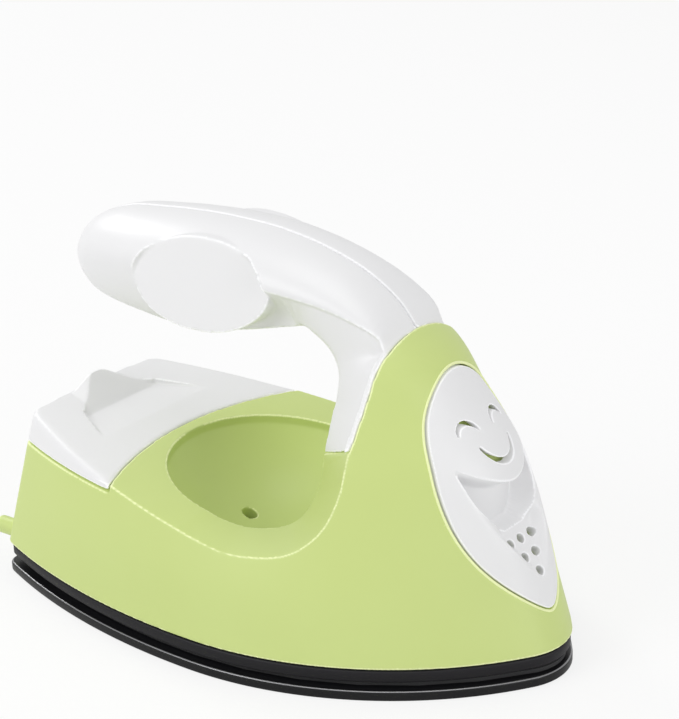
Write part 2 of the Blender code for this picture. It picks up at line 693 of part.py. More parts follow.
def skirt_screws():
    rear = SKIRT_SCREW_FROM_HEEL - HALF_LENGTH
    side = half_width(rear, SOLE_SIZES, SKIRT_SCREW_INSET)
    nose = HALF_LENGTH - SKIRT_SCREW_INSET - BODY_WALL
    return {"left": (rear, side), "right": (rear, -side), "front": (nose, 0.0)}


def make_rear_cover():
    cover = hull("rear_cover", 0.0, COVER_SEAM, HANDLE_TOP / 2)
    boolean(cover, heel_region("keep_heel", CLEARANCE, BODY_BOTTOM), "INTERSECT")
    boolean(cover, sky("cut_sky_cover", 0.0, RIM_X))
    tail = -HALF_LENGTH + HEEL_LEAN_SHARE * (COVER_SEAM - BODY_BOTTOM)
    back = tail + 2 * CLEARANCE
    front = back + HOOD_LENGTH
    ridge, foot = saddle(back) + HOOD_RISE, saddle(front) - SCOOP_DEPTH
    base = COVER_SEAM + BODY_WALL

    def hood(name, x_low, x_high, wall, bottom):
        rings = []
        for x in steps(x_low, x_high, 3):
            half = HOOD_HALF_WIDTH + (SCOOP_HALF_WIDTH - HOOD_HALF_WIDTH) * (x - back) / HOOD_LENGTH
            low, rise = saddle(x) - CLEARANCE, HOOD_RISE + CLEARANCE
            top = [(s, low + rise * (1 + math.cos(math.pi * s)) / 2) for s in steps(-1, 1, 12)]
            ring = [(x, (half - wall) * s, max(z - wall, bottom + CLEARANCE)) for s, z in top]
            rings.append(ring + [(x, half - wall, bottom), (x, wall - half, bottom)])
        return loft(name, rings)

    def lean(name, low, high, drop):
        slope = (ridge - foot) / HOOD_LENGTH
        spread = (SCOOP_HALF_WIDTH - HOOD_RIDGE) / HOOD_LENGTH
        rings = []
        for z_lift in (0.0, HANDLE_TOP):
            ring = []
            for x, way in ((low, -1), (low, 1), (high, 1), (high, -1)):
                y = way * (HOOD_RIDGE + spread * (x - back) + drop)
                ring.append((x, y, ridge - slope * (x - back) - drop + z_lift))
            rings.append(ring)
        return loft(name, rings)

    boolean(cover, hood("join_hood", back, front, 0.0, base), "UNION")
    boolean(cover, lean("cut_hood_face", back, front, 0.0))
    end = COVER_APEX - 2 * COVER_BAND
    scoop = [
        (front - CLEARANCE, -SCOOP_HALF_WIDTH, 0),
        (front - CLEARANCE, SCOOP_HALF_WIDTH, 0),
        (end, SCOOP_HALF_WIDTH * SCOOP_SPREAD_SHARE, 1.2 * SCOOP_DEPTH),
        (end, -SCOOP_HALF_WIDTH * SCOOP_SPREAD_SHARE, 1.2 * SCOOP_DEPTH),
    ]
    lows = [(x, y, saddle(x) - SCOOP_DEPTH + lift) for x, y, lift in scoop]
    highs = [(x, y, ridge + OVERRUN) for x, y, _ in scoop]
    boolean(cover, loft("cut_scoop", [lows, highs]))
    room = hull("cut_cover_room", BODY_WALL, COVER_SEAM - OVERRUN, HANDLE_TOP / 2)
    boolean(room, sky("cut_cover_ceiling", BODY_WALL, RIM_X))
    behind = COVER_APEX - COVER_BAND
    far_corner = (-SOLE_LENGTH, -HALF_WIDTH, 0)
    boolean(room, box("keep_cover_room", far_corner, (behind, HALF_WIDTH, HANDLE_TOP)), "INTERSECT")
    boolean(cover, room)
    inner = hood("cut_hood_room", back + HOOD_WALL, front - HOOD_WALL, HOOD_WALL, COVER_SEAM + CLEARANCE)
    boolean(inner, lean("trim_hood_room", back - OVERRUN, front, HOOD_WALL))
    boolean(cover, inner)
    hole = [(GLAND_HOLE, -OVERRUN), (GLAND_HOLE, 2 * OVERRUN)]
    gland_z = COVER_SEAM + GLAND_RISE
    boolean(cover, turned("cut_gland_hole", hole, (back, 0, gland_z), (1, 0, 0)))
    colour(cover, "white cover plastic", WHITE, 0.4)

    neck = GLAND_HOLE - CLEARANCE
    flange = neck + GLAND_FLANGE
    wall_out = tail - CLEARANCE - GLAND_FLANGE / 2
    profile = [
        (CORD_BORE, 0),
        (flange, 0),
        (flange, GLAND_FLANGE),
        (neck, GLAND_FLANGE),
        (neck, GLAND_FLANGE + 1.5 * HOOD_WALL),
        (CORD_BORE, GLAND_FLANGE + 1.5 * HOOD_WALL),
    ]
    gland = ring_solid("cord_gland", profile, (wall_out - GLAND_FLANGE / 2, 0, gland_z), (1, 0, 0))
    colour(gland, "black rubber", BLACK, 0.7)


# Turned ring: the profile closes on itself round the bore
def ring_solid(name, profile, place, pointing, sides=20):
    points, faces = [], []
    count = len(profile)
    for k in range(sides):
        a = 2 * math.pi * k / sides
        points += [(r * math.cos(a), r * math.sin(a), h) for r, h in profile]
        for j in range(count):
            here, there = k * count, (k + 1) % sides * count
            faces.append((here + j, here + (j + 1) % count, there + (j + 1) % count, there + j))
    obj = new_object(name, points, faces)
    obj.rotation_mode = "QUATERNION"
    obj.rotation_quaternion = Vector(pointing).to_track_quat("Z", "Y")
    obj.location = place
    return obj


def make_nose_cover():
    low = COVER_MIDDLE - COVER_HALF_HEIGHT - OVERRUN
    high = COVER_MIDDLE + COVER_HALF_HEIGHT + OVERRUN
    cover = hull("nose_cover", 0.0, low, high)
    back = RIM_X + RIM_WEB + 2 * OVERRUN
    front = HALF_LENGTH + OVERRUN
    boolean(cover, prism("keep_nose_oval", nose_oval(-CLEARANCE), "X", back, front), "INTERSECT")
    inner = hull("cut_nose_inside", COVER_WALL, low - OVERRUN, high + OVERRUN)
    boolean(inner, pocket("keep_pocket_wall", POCKET_WALL))
    boolean(cover, inner)
    boolean(cover, pocket("cut_pocket", 0.0))
    depth = RIM_X + RIM_WEB + 2 * OVERRUN
    for side in (-1, 1):
        tag = "left" if side > 0 else "right"
        eye = slot_arc((side * EYE_Y, EYE_Z), EYE_RADIUS, *EYE_SPAN, SLOT_WIDTH)
        boolean(cover, prism("cut_eye_slot_" + tag, eye, "X", depth, front))
    smile = slot_arc((0.0, SMILE_Z), SMILE_RADIUS, *SMILE_SPAN, SLOT_WIDTH)
    boolean(cover, prism("cut_smile_slot", smile, "X", depth, front))
    normal = Vector((RAMP_SLOPE_SHARE, 0, 1)).normalized()
    along = Vector((1, 0, -RAMP_SLOPE_SHARE)).normalized()
    number = 1
    for row, across_shares in enumerate(((-1, 0, 1), (-0.5, 0.5), (0,))):
        for across in across_shares:
            start = Vector((ramp_x(RAMP_Z), 0, RAMP_Z)) + along * (VENT_PITCH * row)
            place = start + Vector((0, VENT_PITCH * across, 0)) - normal * (2 * OVERRUN)
            hole = [(VENT_BORE, 0), (VENT_BORE, 4 * OVERRUN)]
            boolean(cover, turned(f"cut_vent_{number}", hole, place, normal, sides=10))
            number += 1
    colour(cover, "white cover plastic", WHITE, 0.4)


def handle_z(share):
    return SHOULDER + (HANDLE_TOP - SHOULDER) * share


# One section of the grip: domed top, edge, hollow flank and narrow keel
def grip_ring(row, inset):
    x = HALF_LENGTH * row[0]
    top, low, edge = (handle_z(row[k]) for k in (1, 2, 3))
    half = HANDLE_WIDTH * row[4]
    top, low = top - inset, low + inset
    half = max(half - inset, TINY_SHARE * half)
    points = []
    for a in steps(math.pi / 2, 0, 5):
        points.append((half * math.cos(a), edge + (top - edge) * math.sin(a)))
    keel = half * KEEL_SHARE
    for t in (0.35, 0.7, 1.0):
        sweep = 1 - (1 - t) ** 2
        points.append((half + (keel - half) * sweep, edge + (low - edge) * t))
    points.append((0.0, low))
    ring = points + [(-y, z) for y, z in reversed(points[1:-1])]
    return [(x, y, z) for y, z in ring]


def grip(name, inset, first, last):
    return loft(name, [grip_ring(row, inset) for row in HANDLE_SHARES[first:last]])


# Level section of the pillar: back on the dish's cylinder, flanks out to the rim, plug inside the tower
def pillar_ring(z, gap):
    half = DISH_RADIUS * cubic(PILLAR_SHARES, z / BODY_HEIGHT, 1)
    swing = math.asin(half / DISH_RADIUS)
    wall = BODY_WALL + gap
    sizes = hull_sizes(z)
    points = [
        (DISH_X + DISH_RADIUS * math.cos(a), DISH_RADIUS * math.sin(a)) for a in steps(0, swing, 4)
    ]
    rim = RIM_X + RIM_LEAN_SHARE * (z - PEDESTAL_FRONT)
    start = rim - gap
    end = max(min(rim + PLUG_LENGTH, sizes[0] - wall - HANDLE_WALL), start + gap / 2)
    points += [(x, max(half_width(x, sizes, wall), half / 8)) for x in steps(start, end, 3)]
    points.append((end, 0.0))
    ring = points + [(x, -y) for x, y in reversed(points[1:-1])]
    return [(x, y, z) for x, y in ring]


# The thumb pads' flat faces lean in towards the handle's top
def pad_face(z):
    return PAD_FACE - PAD_LEAN_SHARE * (z - PAD_Z)


# Oval bar that runs sideways from one distance off a face to another
def pad(name, grow, *ends):
    rings = []
    for way, off in ends:
        ring = []
        for k in range(32):
            a = 2 * math.pi * k / 32
            z = PAD_Z + (PAD_HALF_HEIGHT + grow) * math.sin(a)
            ring.append((PAD_X + (PAD_HALF_LENGTH + grow) * math.cos(a), way * (pad_face(z) + off), z))
        rings.append(ring)
    return loft(name, rings)


def make_handle(side):
    tag = "left" if side > 0 else "right"
    last = len(HANDLE_SHARES)
    half = grip("handle_" + tag, 0.0, 0, last)
    levels = [PEDESTAL_BACK - OVERRUN, PEDESTAL_BACK, *steps(PEDESTAL_FRONT, BODY_HEIGHT - BODY_WALL, 6)]
    pillar = loft("join_pillar_" + tag, [pillar_ring(z, CLEARANCE) for z in levels])
    seat = sky("keep_foot_" + tag, -FOOT_GAP, RIM_X + PLUG_LENGTH + 2 * OVERRUN)
    boolean(pillar, seat, "INTERSECT")
    boolean(half, pillar, "UNION")
    for way in (-1, 1):
        boolean(half, pad(f"cut_pad_{way + 1}_{tag}", 0.0, (way, 0.0), (way, HANDLE_WIDTH / 2)))
    boolean(half, pad("join_pad_" + tag, PAD_EDGE, (-1, -PAD_EDGE / 2), (1, -PAD_EDGE / 2)), "UNION")
    room = grip("cut_grip_room_" + tag, HANDLE_WALL, 3, last - 4)
    wedge = []
    for x in (-HALF_LENGTH, HALF_LENGTH):
        low, high = SHOULDER - HANDLE_RISE, HANDLE_TOP
        corners = ((-1, low), (1, low), (1, high), (-1, high))
        wedge.append([(x, way * (pad_face(z) - HANDLE_WALL), z) for way, z in corners])
    boolean(room, loft("trim_grip_room_" + tag, wedge), "INTERSECT")
    boolean(half, room)
    wall = PILLAR_POCKET_WALL
    room_low = (PILLAR_BACK + wall, -FOOT_SCREW_Y - BOSS_RADIUS, FOOT_SCREW_TIP + PILLAR_POCKET_BASE)
    room_high = (RIM_X + PLUG_LENGTH - wall, FOOT_SCREW_Y + BOSS_RADIUS, BODY_HEIGHT - PILLAR_POCKET_ROOF)
    boolean(half, box("cut_pillar_room_" + tag, room_low, room_high))
    for number, (x, z) in enumerate(handle_screws(), 1):
        post = [(BOSS_RADIUS, -PAD_FACE), (BOSS_RADIUS, PAD_FACE)]
        post = turned(f"join_post_{number}_{tag}", post, (x, 0, z), (0, 1, 0))
        boolean(post, grip(f"trim_post_{number}_{tag}", HANDLE_WALL / 2, 0, last), "INTERSECT")
        boolean(half, post, "UNION")
        bore, sink = SCREW_RADIUS + CLEARANCE, HEAD_RADIUS + CLEARANCE
        hole = [
            (bore, HANDLE_SCREW_TIP_Y - CLEARANCE),
            (bore, HANDLE_SCREW_HEAD_Y),
            (sink, HANDLE_SCREW_HEAD_Y),
            (sink, HANDLE_WIDTH),
        ]
        boolean(half, turned(f"cut_post_{number}_{tag}", hole, (x, 0, z), (0, 1, 0)))
    for way in (-1, 1):
        bore = SCREW_RADIUS + CLEARANCE
        hole = [(bore, FOOT_BOSS_BOTTOM), (bore, FOOT_SCREW_TIP + CLEARANCE)]
        place = (FOOT_SCREW_X, way * FOOT_SCREW_Y, 0)
        boolean(half, turned(f"cut_foot_hole_{way + 1}_{tag}", hole, place))
    low, high = sorted((side * CLEARANCE / 2, side * HANDLE_WIDTH))
    keep = box("keep_" + tag, (-SOLE_LENGTH, low, 0), (SOLE_LENGTH, high, 2 * HANDLE_TOP))
    boolean(half, keep, "INTERSECT")
    colour(half, "white handle plastic", WHITE, 0.35)


def handle_screws():
    return [(HALF_LENGTH * along, handle_z(up)) for along, up in HANDLE_SCREW_SHARES]


# Cheese-head screw: driven from its head towards a direction, with a cone for the driver
def screw(name, seat, direction, length, shank=SCREW_RADIUS, head=HEAD_RADIUS):
    profile = [
        (shank * 0.5, length),
        (shank, length - shank * 0.5),
        (shank, 0),
        (head, 0),
        (head, -HEAD_HEIGHT),
        (head * 0.4, -HEAD_HEIGHT),
        (head * 0.15, -HEAD_HEIGHT + SLOT_DEPTH),
    ]
    obj = turned(name, profile, seat, direction, sides=12)
    colour(obj, "bright screw steel", STEEL, 0.3, 1.0)
    return obj


def make_base():
    edge = SOLE_EDGE
    levels = ((edge, 0), (0.0, edge), (0.0, SOLE_THICKNESS - edge), (edge, SOLE_THICKNESS))
    fine = (8, 8, 8, 4)
    sole = loft("soleplate", [layer(teardrop(SOLE_SIZES, inset, fine), z) for inset, z in levels])
    for number, (x, y) in enumerate(clamp_places() + [(DISH_SCREW_X, 0.0)], 1):
        bore = SCREW_RADIUS + CLEARANCE
        hole = [(bore, BLIND_FLOOR), (bore, SOLE_THICKNESS + OVERRUN)]
        boolean(sole, turned(f"cut_sole_hole_{number}", hole, (x, y, 0), sides=12))
    colour(sole, "dark coated soleplate", (0.12, 0.12, 0.125), 0.3, 0.8)

    def band(name, levels, inner):
        rings = [layer(teardrop(SOLE_SIZES, inset), z) for inset, z in levels]
        piece = loft(name, rings)
        low, high = levels[0][1] - OVERRUN, levels[-1][1] + OVERRUN
        return boolean(piece, prism("cut_" + name, teardrop(SOLE_SIZES, inner), "Z", low, high))

    gasket_top = GASKET_BOTTOM + GASKET_THICKNESS
    levels = ((GASKET_INSET, GASKET_BOTTOM), (GASKET_INSET, gasket_top))
    gasket = band("insulating_gasket", levels, RING_INSET)
    colour(gasket, "black gasket", BLACK, 0.8)
    chamfer = SKIRT_CHAMFER
    levels = (
        (SKIRT_INSET + chamfer, SKIRT_BOTTOM),
        (SKIRT_INSET, SKIRT_BOTTOM + chamfer),
        (SKIRT_INSET, SKIRT_TOP),
    )
    skirt = band("skirt_ring", levels, RING_INSET)
    for tag, (x, y) in skirt_screws().items():
        sink = HEAD_RADIUS + CLEARANCE
        bore = SCREW_RADIUS + CLEARANCE
        seat = SKIRT_BOTTOM + HEAD_HEIGHT - CLEARANCE
        hole = [(sink, SOLE_THICKNESS), (sink, seat), (bore, seat), (bore, SKIRT_TOP + OVERRUN)]
        boolean(skirt, turned("cut_skirt_hole_" + tag, hole, (x, y, 0)))
        boolean(gasket, turned("cut_gasket_hole_" + tag, [(sink, 0), (sink, SKIRT_BOTTOM)], (x, y, 0)))
        length = SKIRT_TOP + SKIRT_SCREW_REACH - seat
        screw("skirt_screw_" + tag, (x, y, seat - CLEARANCE / 6), (0, 0, 1), length)
    colour(skirt, "black skirt plastic", BLACK, 0.45)


def clamp_places():
    xs = [HALF_LENGTH * share for share in CLAMP_SCREW_SHARES]
    return [(x, side * half_width(x, SOLE_SIZES, CLAMP_SCREW_INSET)) for x in xs for side in (1, -1)]


def make_heater():
    rear = STACK_FROM_HEEL - HALF_LENGTH
    outline = [(max(x, rear), y) for x, y in teardrop(SOLE_SIZES, STACK_INSET)]
    places = clamp_places() + [(DISH_SCREW_X, 0.0)]
    sheets = (
        ("lower_mica_sheet", MICA_BOTTOM, MICA_THICKNESS, "mica", MICA, 0.5, 0.0),
        ("upper_mica_sheet", UPPER_MICA, MICA_THICKNESS, "mica", MICA, 0.5, 0.0),
        ("heater_clamp_plate", CLAMP_BOTTOM, CLAMP_THICKNESS, "plated steel", STEEL, 0.35, 1.0),
    )
    kept = []
    for p in outline:
        if not kept or (Vector(p) - Vector(kept[-1])).length > CLEARANCE:
            kept.append(p)
    for name, low, thick, paint, rgb, rough, metal in sheets:
        sheet = prism(name, kept, "Z", low, low + thick)
        for number, (x, y) in enumerate(places, 1):
            bore = SCREW_RADIUS + CLEARANCE
            hole = [(bore, low - OVERRUN), (bore, low + thick + OVERRUN)]
            boolean(sheet, turned(f"cut_{name}_{number}", hole, (x, y, 0), sides=12))
        colour(sheet, paint, rgb, rough, metal)
    for number, (x, y) in enumerate(clamp_places(), 1):
        seat = CLAMP_TOP + CLEARANCE
        screw(f"clamp_screw_{number}", (x, y, seat), (0, 0, -1), seat - BLIND_FLOOR - CLEARANCE)

    runs = steps(RUN_FIRST, clamp_places()[0][1] - SCREW_RADIUS - RUN_MARGIN, 2)
    fronts = [HALF_LENGTH - RUN_FROM_NOSE - RUN_FRONT_STEP * k for k in range(3)]
    end, turn = WIRE_END_FROM_HEEL - HALF_LENGTH, RUN_FROM_HEEL - HALF_LENGTH
    side = [
        (end, WIRE_END_Y, WIRE_END_Z),
        (end, WIRE_END_Y, WIRE_Z),
        (end, runs[2], WIRE_Z),
        (fronts[2], runs[2], WIRE_Z),
        (fronts[2], runs[1], WIRE_Z),
        (turn, runs[1], WIRE_Z),
        (turn, runs[0], WIRE_Z),
        (fronts[0], runs[0], WIRE_Z),
    ]
    path = side + [(x, -y, z) for x, y, z in reversed(side)]
    wire("heating_element", path, WIRE_RADIUS, "resistance wire", (0.45, 0.42, 0.38), 0.4, 1.0)


def wire(name, path, radius, paint, rgb, roughness, metallic):
    curve = bpy.data.curves.new(name, "CURVE")
    curve.dimensions = "3D"
    curve.bevel_depth = radius
    curve.bevel_resolution = 1
    curve.use_fill_caps = True
    spline = curve.splines.new("POLY")
    spline.points.add(len(path) - 1)
    for point, place in zip(spline.points, path):
        point.co = (*place, 1.0)
    obj = bpy.data.objects.new(name, curve)
    bpy.context.scene.collection.objects.link(obj)
    obj.parent = root
    colour(obj, paint, rgb, roughness, metallic)
    return obj


# Smooth run through a few places, for a lead
def eased(places, between=4):
    points = []
    for k in range(len(places) - 1):
        a, b = Vector(places[max(k - 1, 0)]), Vector(places[k])
        c, d = Vector(places[k + 1]), Vector(places[min(k + 2, len(places) - 1)])
        for step in range(between):
            t = step / between
            rise = (c - a) * t + (2 * a - 5 * b + 4 * c - d) * t * t + (3 * b - a - 3 * c + d) * t**3
            points.append(b + 0.5 * rise)
    return [tuple(p) for p in points] + [places[-1]]


def make_terminals():
    half = BLOCK_WIDTH / 2
    low = (BLOCK_X - BLOCK_LENGTH / 2, -half, BLOCK_BOTTOM)
    high = (BLOCK_X + BLOCK_LENGTH / 2, half, BLOCK_BOTTOM + BLOCK_HEIGHT)
    block = box("terminal_block", low, high)
    colour(block, "terminal ceramic", CERAMIC, 0.6)
    for side in (-1, 1):
        tag = "left" if side > 0 else "right"
        y = side * TAB_Y
        x = high[0] + CLEARANCE
        z = WIRE_END_Z + CLEARANCE
        start = (x, y - TAB_WIDTH / 2, z)
        end = (x + TAB_LENGTH, y + TAB_WIDTH / 2, z + TAB_THICKNESS)
        tab = box("terminal_tab_" + tag, start, end)
        colour(tab, "brass", BRASS, 0.35, 1.0)


def fuse_y():
    return clamp_places()[0][1] - HEAD_RADIUS - FUSE_GAP - FUSE_RADIUS


def make_fuse():
    middle = fuse_y()
    z = CLAMP_TOP + CLEARANCE + CLIP_THICKNESS + CLEARANCE + FUSE_RADIUS
    start = (FUSE_X - FUSE_LENGTH / 2, middle, z)
    taper = FUSE_RADIUS * 0.5
    profile = [
        (FUSE_RADIUS * 0.4, 0),
        (FUSE_RADIUS, taper),
        (FUSE_RADIUS, FUSE_LENGTH - taper),
        (FUSE_RADIUS * 0.4, FUSE_LENGTH),
    ]
    fuse = turned("thermal_fuse", profile, start, (1, 0, 0), sides=12)
    colour(fuse, "fuse can aluminium", (0.75, 0.75, 0.76), 0.25, 1.0)
    low_x, high_x = FUSE_X - FUSE_CLIP_WIDTH / 2, FUSE_X + FUSE_CLIP_WIDTH / 2
    out = FUSE_RADIUS + CLEARANCE + CLIP_THICKNESS
    inn = FUSE_RADIUS + CLEARANCE
    bottom = CLAMP_TOP + CLEARANCE
    floor = bottom + CLIP_THICKNESS
    top = z + FUSE_RADIUS * 0.6
    cradle = [
        (middle - out, bottom),
        (middle + out, bottom),
        (middle + out, top),
        (middle + inn, top),
        (middle + inn, floor),
        (middle - inn, floor),
        (middle - inn, top),
        (middle - out, top),
    ]
    clip = prism("fuse_clip", cradle, "X", low_x, high_x)
    colour(clip, "plated steel", STEEL, 0.35, 1.0)
    return z


def make_thermostat():
    cup_low = CLAMP_TOP + CLEARANCE
    cup = [
        (CUP_RADIUS, cup_low),
        (CUP_RADIUS, cup_low + CUP_DEPTH),
        (CUP_RADIUS - CUP_WALL, cup_low + CUP_DEPTH),
        (CUP_RADIUS - CUP_WALL, cup_low + CUP_WALL),
    ]
    piece = turned("thermostat_cup", cup, (STAT_X, 0, 0), sides=24)
    colour(piece, "aluminium cup", (0.75, 0.75, 0.76), 0.3, 1.0)
    disc_low = cup_low + CUP_WALL + CLEARANCE
    disc_r = CUP_RADIUS - CUP_WALL - CLEARANCE
    flat = [(disc_r, disc_low), (disc_r, disc_low + DISC_THICKNESS)]
    disc = turned("bimetal_disc", flat, (STAT_X, 0, 0), sides=24)
    colour(disc, "bimetal", (0.60, 0.57, 0.52), 0.3, 1.0)
    base_low = disc_low + DISC_THICKNESS + CLEARANCE
    base_top = base_low + BASE_HEIGHT
    base_r = disc_r
    bore = PIN_RADIUS + CLEARANCE
    ring = [(bore, base_low), (base_r, base_low), (base_r, base_top), (bore, base_top)]
    base = ring_solid("thermostat_base", ring, (STAT_X, 0, 0), (0, 0, 1), sides=24)
    colour(base, "black phenolic", BLACK, 0.5)

    blade_z = base_top + POST_HEIGHT
    hinge_x = STAT_X - BLADE_LENGTH / 2
    tip_x = STAT_X + BLADE_LENGTH / 2
    for tag, x, height in (("hinge", hinge_x, POST_HEIGHT), ("fixed", tip_x - POST_SIZE / 2, POST_HEIGHT)):
        low = (x - POST_SIZE / 2, -BLADE_WIDTH / 2, base_top + CLEARANCE)
        high = (x + POST_SIZE / 2, BLADE_WIDTH / 2, blade_z - CLEARANCE)
        post = box("contact_post_" + tag, low, high)
        colour(post, "brass", BRASS, 0.35, 1.0)

    pivot = bpy.data.objects.new("blade_pivot", None)
    bpy.context.scene.collection.objects.link(pivot)
    pivot.parent = root
    pivot.location = (hinge_x, 0, blade_z)
    outline = [
        (-POST_SIZE / 2, -BLADE_WIDTH / 2),
        (BLADE_LENGTH, -BLADE_WIDTH / 2),
        (BLADE_LENGTH, BLADE_WIDTH / 2),
        (-POST_SIZE / 2, BLADE_WIDTH / 2),
    ]
    blade = prism("contact_blade", outline, "Z", 0, BLADE_THICKNESS, parent=pivot)
    colour(blade, "spring bronze", BRASS, 0.3, 1.0)

    slide = bpy.data.objects.new("pin_slide", None)
    bpy.context.scene.collection.objects.link(slide)
    slide.parent = root
    slide.location = (STAT_X, 0, base_low)
    pin_top = blade_z - CLEARANCE - base_low
    pin = turned("transfer_pin", [(PIN_RADIUS, 0), (PIN_RADIUS, pin_top)], (0, 0, 0), sides=12, parent=slide)
    colour(pin, "white ceramic pin", CERAMIC, 0.5)
    return blade_z


def make_leads(fuse_z, blade_z):
    tab_z = WIRE_END_Z + CLEARANCE + TAB_THICKNESS + CLEARANCE + LEAD_RADIUS
    tab_x = BLOCK_X + BLOCK_LENGTH / 2 + TAB_LENGTH
    gap = CLEARANCE + LEAD_RADIUS
    middle = fuse_y()
    fuse_rear = (FUSE_X - FUSE_LENGTH / 2 - CLEARANCE, middle, fuse_z)
    fuse_front = (FUSE_X + FUSE_LENGTH / 2 + CLEARANCE, middle, fuse_z)
    post_z = blade_z
    bends = [(tab_x, TAB_Y, tab_z), (tab_x + 2 * gap, 2 * TAB_Y, tab_z)]
    first = [*bends, (fuse_rear[0] - 2 * gap, middle, fuse_z), fuse_rear]
    hinge_side = (STAT_X - BLADE_LENGTH / 2, BLADE_WIDTH / 2 + gap, post_z)
    second = [
        fuse_front,
        (0.0, middle + 2 * gap, fuse_z),
        (STAT_X - 3 * CUP_RADIUS / 2, middle, fuse_z + gap),
        (hinge_side[0] - 2 * gap, CUP_RADIUS, post_z),
        hinge_side,
    ]
    for name, path in (("lead_to_fuse", first), ("lead_to_thermostat", second)):
        wire(name, eased(path), LEAD_RADIUS, "lead sleeve", (0.62, 0.60, 0.55), 0.6, 0.0)


def make_screws():
    seat = CENTRE_HEAD_SEAT + CLEARANCE
    length = seat - BLIND_FLOOR - CLEARANCE
    screw("dish_screw", (DISH_SCREW_X, 0, seat), (0, 0, -1), length, CENTRE_SCREW_RADIUS, CENTRE_HEAD_RADIUS)
    for side in (-1, 1):
        tag = "left" if side > 0 else "right"
        place = (FOOT_SCREW_X, side * FOOT_SCREW_Y, FOOT_BOSS_BOTTOM - CLEARANCE)
        screw("foot_screw_" + tag, place, (0, 0, 1), FOOT_SCREW_TIP - FOOT_BOSS_BOTTOM)
    for number, (x, z) in enumerate(handle_screws(), 1):
        head_y = HANDLE_SCREW_HEAD_Y + CLEARANCE
        screw(f"handle_screw_{number}", (x, head_y, z), (0, -1, 0), head_y - HANDLE_SCREW_TIP_Y)


clear_scene()
root = bpy.data.objects.new("iron_frame", None)
bpy.context.scene.collection.objects.link(root)
root.location = (PEG_REACH / 2, 0, 0)
make_base()
make_heater()
make_body()
make_rear_cover()
make_nose_cover()
make_handle(1)
make_handle(-1)
make_terminals()
lead_height = make_fuse()
contact_height = make_thermostat()
make_leads(lead_height, contact_height)
make_screws()
bpy.context.view_layer.update()
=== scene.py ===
# Mini craft iron: satin green hull on a dark coated sole, white two-part handle, white rear and nose covers.
# Shapes are drawn in millimetres about the middle of the soleplate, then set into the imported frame.
import math

import bmesh
import bpy
import numpy
from mathutils import Matrix, Vector


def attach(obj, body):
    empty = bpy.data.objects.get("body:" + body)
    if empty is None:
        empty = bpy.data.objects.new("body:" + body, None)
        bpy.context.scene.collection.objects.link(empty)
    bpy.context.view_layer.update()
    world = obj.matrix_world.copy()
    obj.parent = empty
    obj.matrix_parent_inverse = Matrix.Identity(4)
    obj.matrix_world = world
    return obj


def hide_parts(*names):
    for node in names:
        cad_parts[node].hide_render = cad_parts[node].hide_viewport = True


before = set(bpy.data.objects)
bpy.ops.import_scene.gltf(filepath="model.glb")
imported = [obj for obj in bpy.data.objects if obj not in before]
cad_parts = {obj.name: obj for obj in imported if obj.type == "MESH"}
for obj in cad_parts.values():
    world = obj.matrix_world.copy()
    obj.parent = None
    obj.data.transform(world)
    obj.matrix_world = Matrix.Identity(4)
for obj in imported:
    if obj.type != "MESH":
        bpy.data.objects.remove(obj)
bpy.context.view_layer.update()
mm = 0.001
imageSize = (679, 719)

# What the whole iron shares, in millimetres
iron = {
    "soleLength": 100.0, "soleWidth": 63.7, "soleThickness": 1.7, "soleEdge": 0.35, "soleNoseRound": 1.06,
    "soleHeelOut": 0.4, "noseRadius": 10.0, "noseTrim": 0.9, "heelWidth": 42.6, "heelCorner": 1.9,
    "widestX": -0.75, "gap": 0.3, "shiftX": 2.5,
}


def steps(low, high, count):
    return [low + (high - low) * k / count for k in range(count + 1)]


def easeStep(value):  # 0 to 1 with level ends
    t = min(max(value, 0.0), 1.0)
    return t * t * (3 - 2 * t)


def cubicAt(rows, at, column):  # monotone cubic through the rows of a table
    places = [row[0] for row in rows]
    values = [row[column] for row in rows]
    if at <= places[0]:
        return values[0]
    if at >= places[-1]:
        return values[-1]
    k = max(j for j in range(len(places) - 1) if places[j] <= at)
    grades = [(values[j + 1] - values[j]) / (places[j + 1] - places[j]) for j in range(len(places) - 1)]

    def tangent(j):
        if j == 0 or j == len(places) - 1:
            return grades[min(j, len(grades) - 1)]
        before, after = grades[j - 1], grades[j]
        return 0.0 if before * after <= 0 else 2 * before * after / (before + after)

    span = places[k + 1] - places[k]
    t = (at - places[k]) / span
    return (
        values[k] * (1 + 2 * t) * (1 - t) ** 2
        + span * tangent(k) * t * (1 - t) ** 2
        + values[k + 1] * t * t * (3 - 2 * t)
        + span * tangent(k + 1) * t * t * (t - 1)
    )


def newPiece(name, points, faces):
    mesh = bpy.data.meshes.new(name)
    mesh.from_pydata([tuple(p) for p in points], [], faces)
    work = bmesh.new()
    work.from_mesh(mesh)
    bmesh.ops.recalc_face_normals(work, faces=work.faces)
    work.to_mesh(mesh)
    work.free()
    piece = bpy.data.objects.new(name, mesh)
    bpy.context.scene.collection.objects.link(piece)
    return piece


def loftRings(name, rings, first=None, last=None):  # skin over rings of equal count
    count = len(rings[0])
    points = [p for ring in rings for p in ring]
    faces = []
    for k in range(len(rings) - 1):
        for j in range(count):
            a, b = k * count + j, k * count + (j + 1) % count
            faces.append((a, b, b + count, a + count))
    top = (len(rings) - 1) * count
    if first is None:
        faces.append(tuple(range(count)))
    else:
        points.append(first)
        faces += [((j + 1) % count, j, len(points) - 1) for j in range(count)]
    if last is None:
        faces.append(tuple(top + j for j in range(count)))
    else:
        points.append(last)
        faces += [(top + j, top + (j + 1) % count, len(points) - 1) for j in range(count)]
    return newPiece(name, points, faces)


def prism(name, outline, axis, low, high):
    def place(pair, at):
        return {"X": (at, *pair), "Y": (pair[0], at, pair[1]), "Z": (*pair, at)}[axis]

    return loftRings(name, [[place(p, low) for p in outline], [place(p, high) for p in outline]])


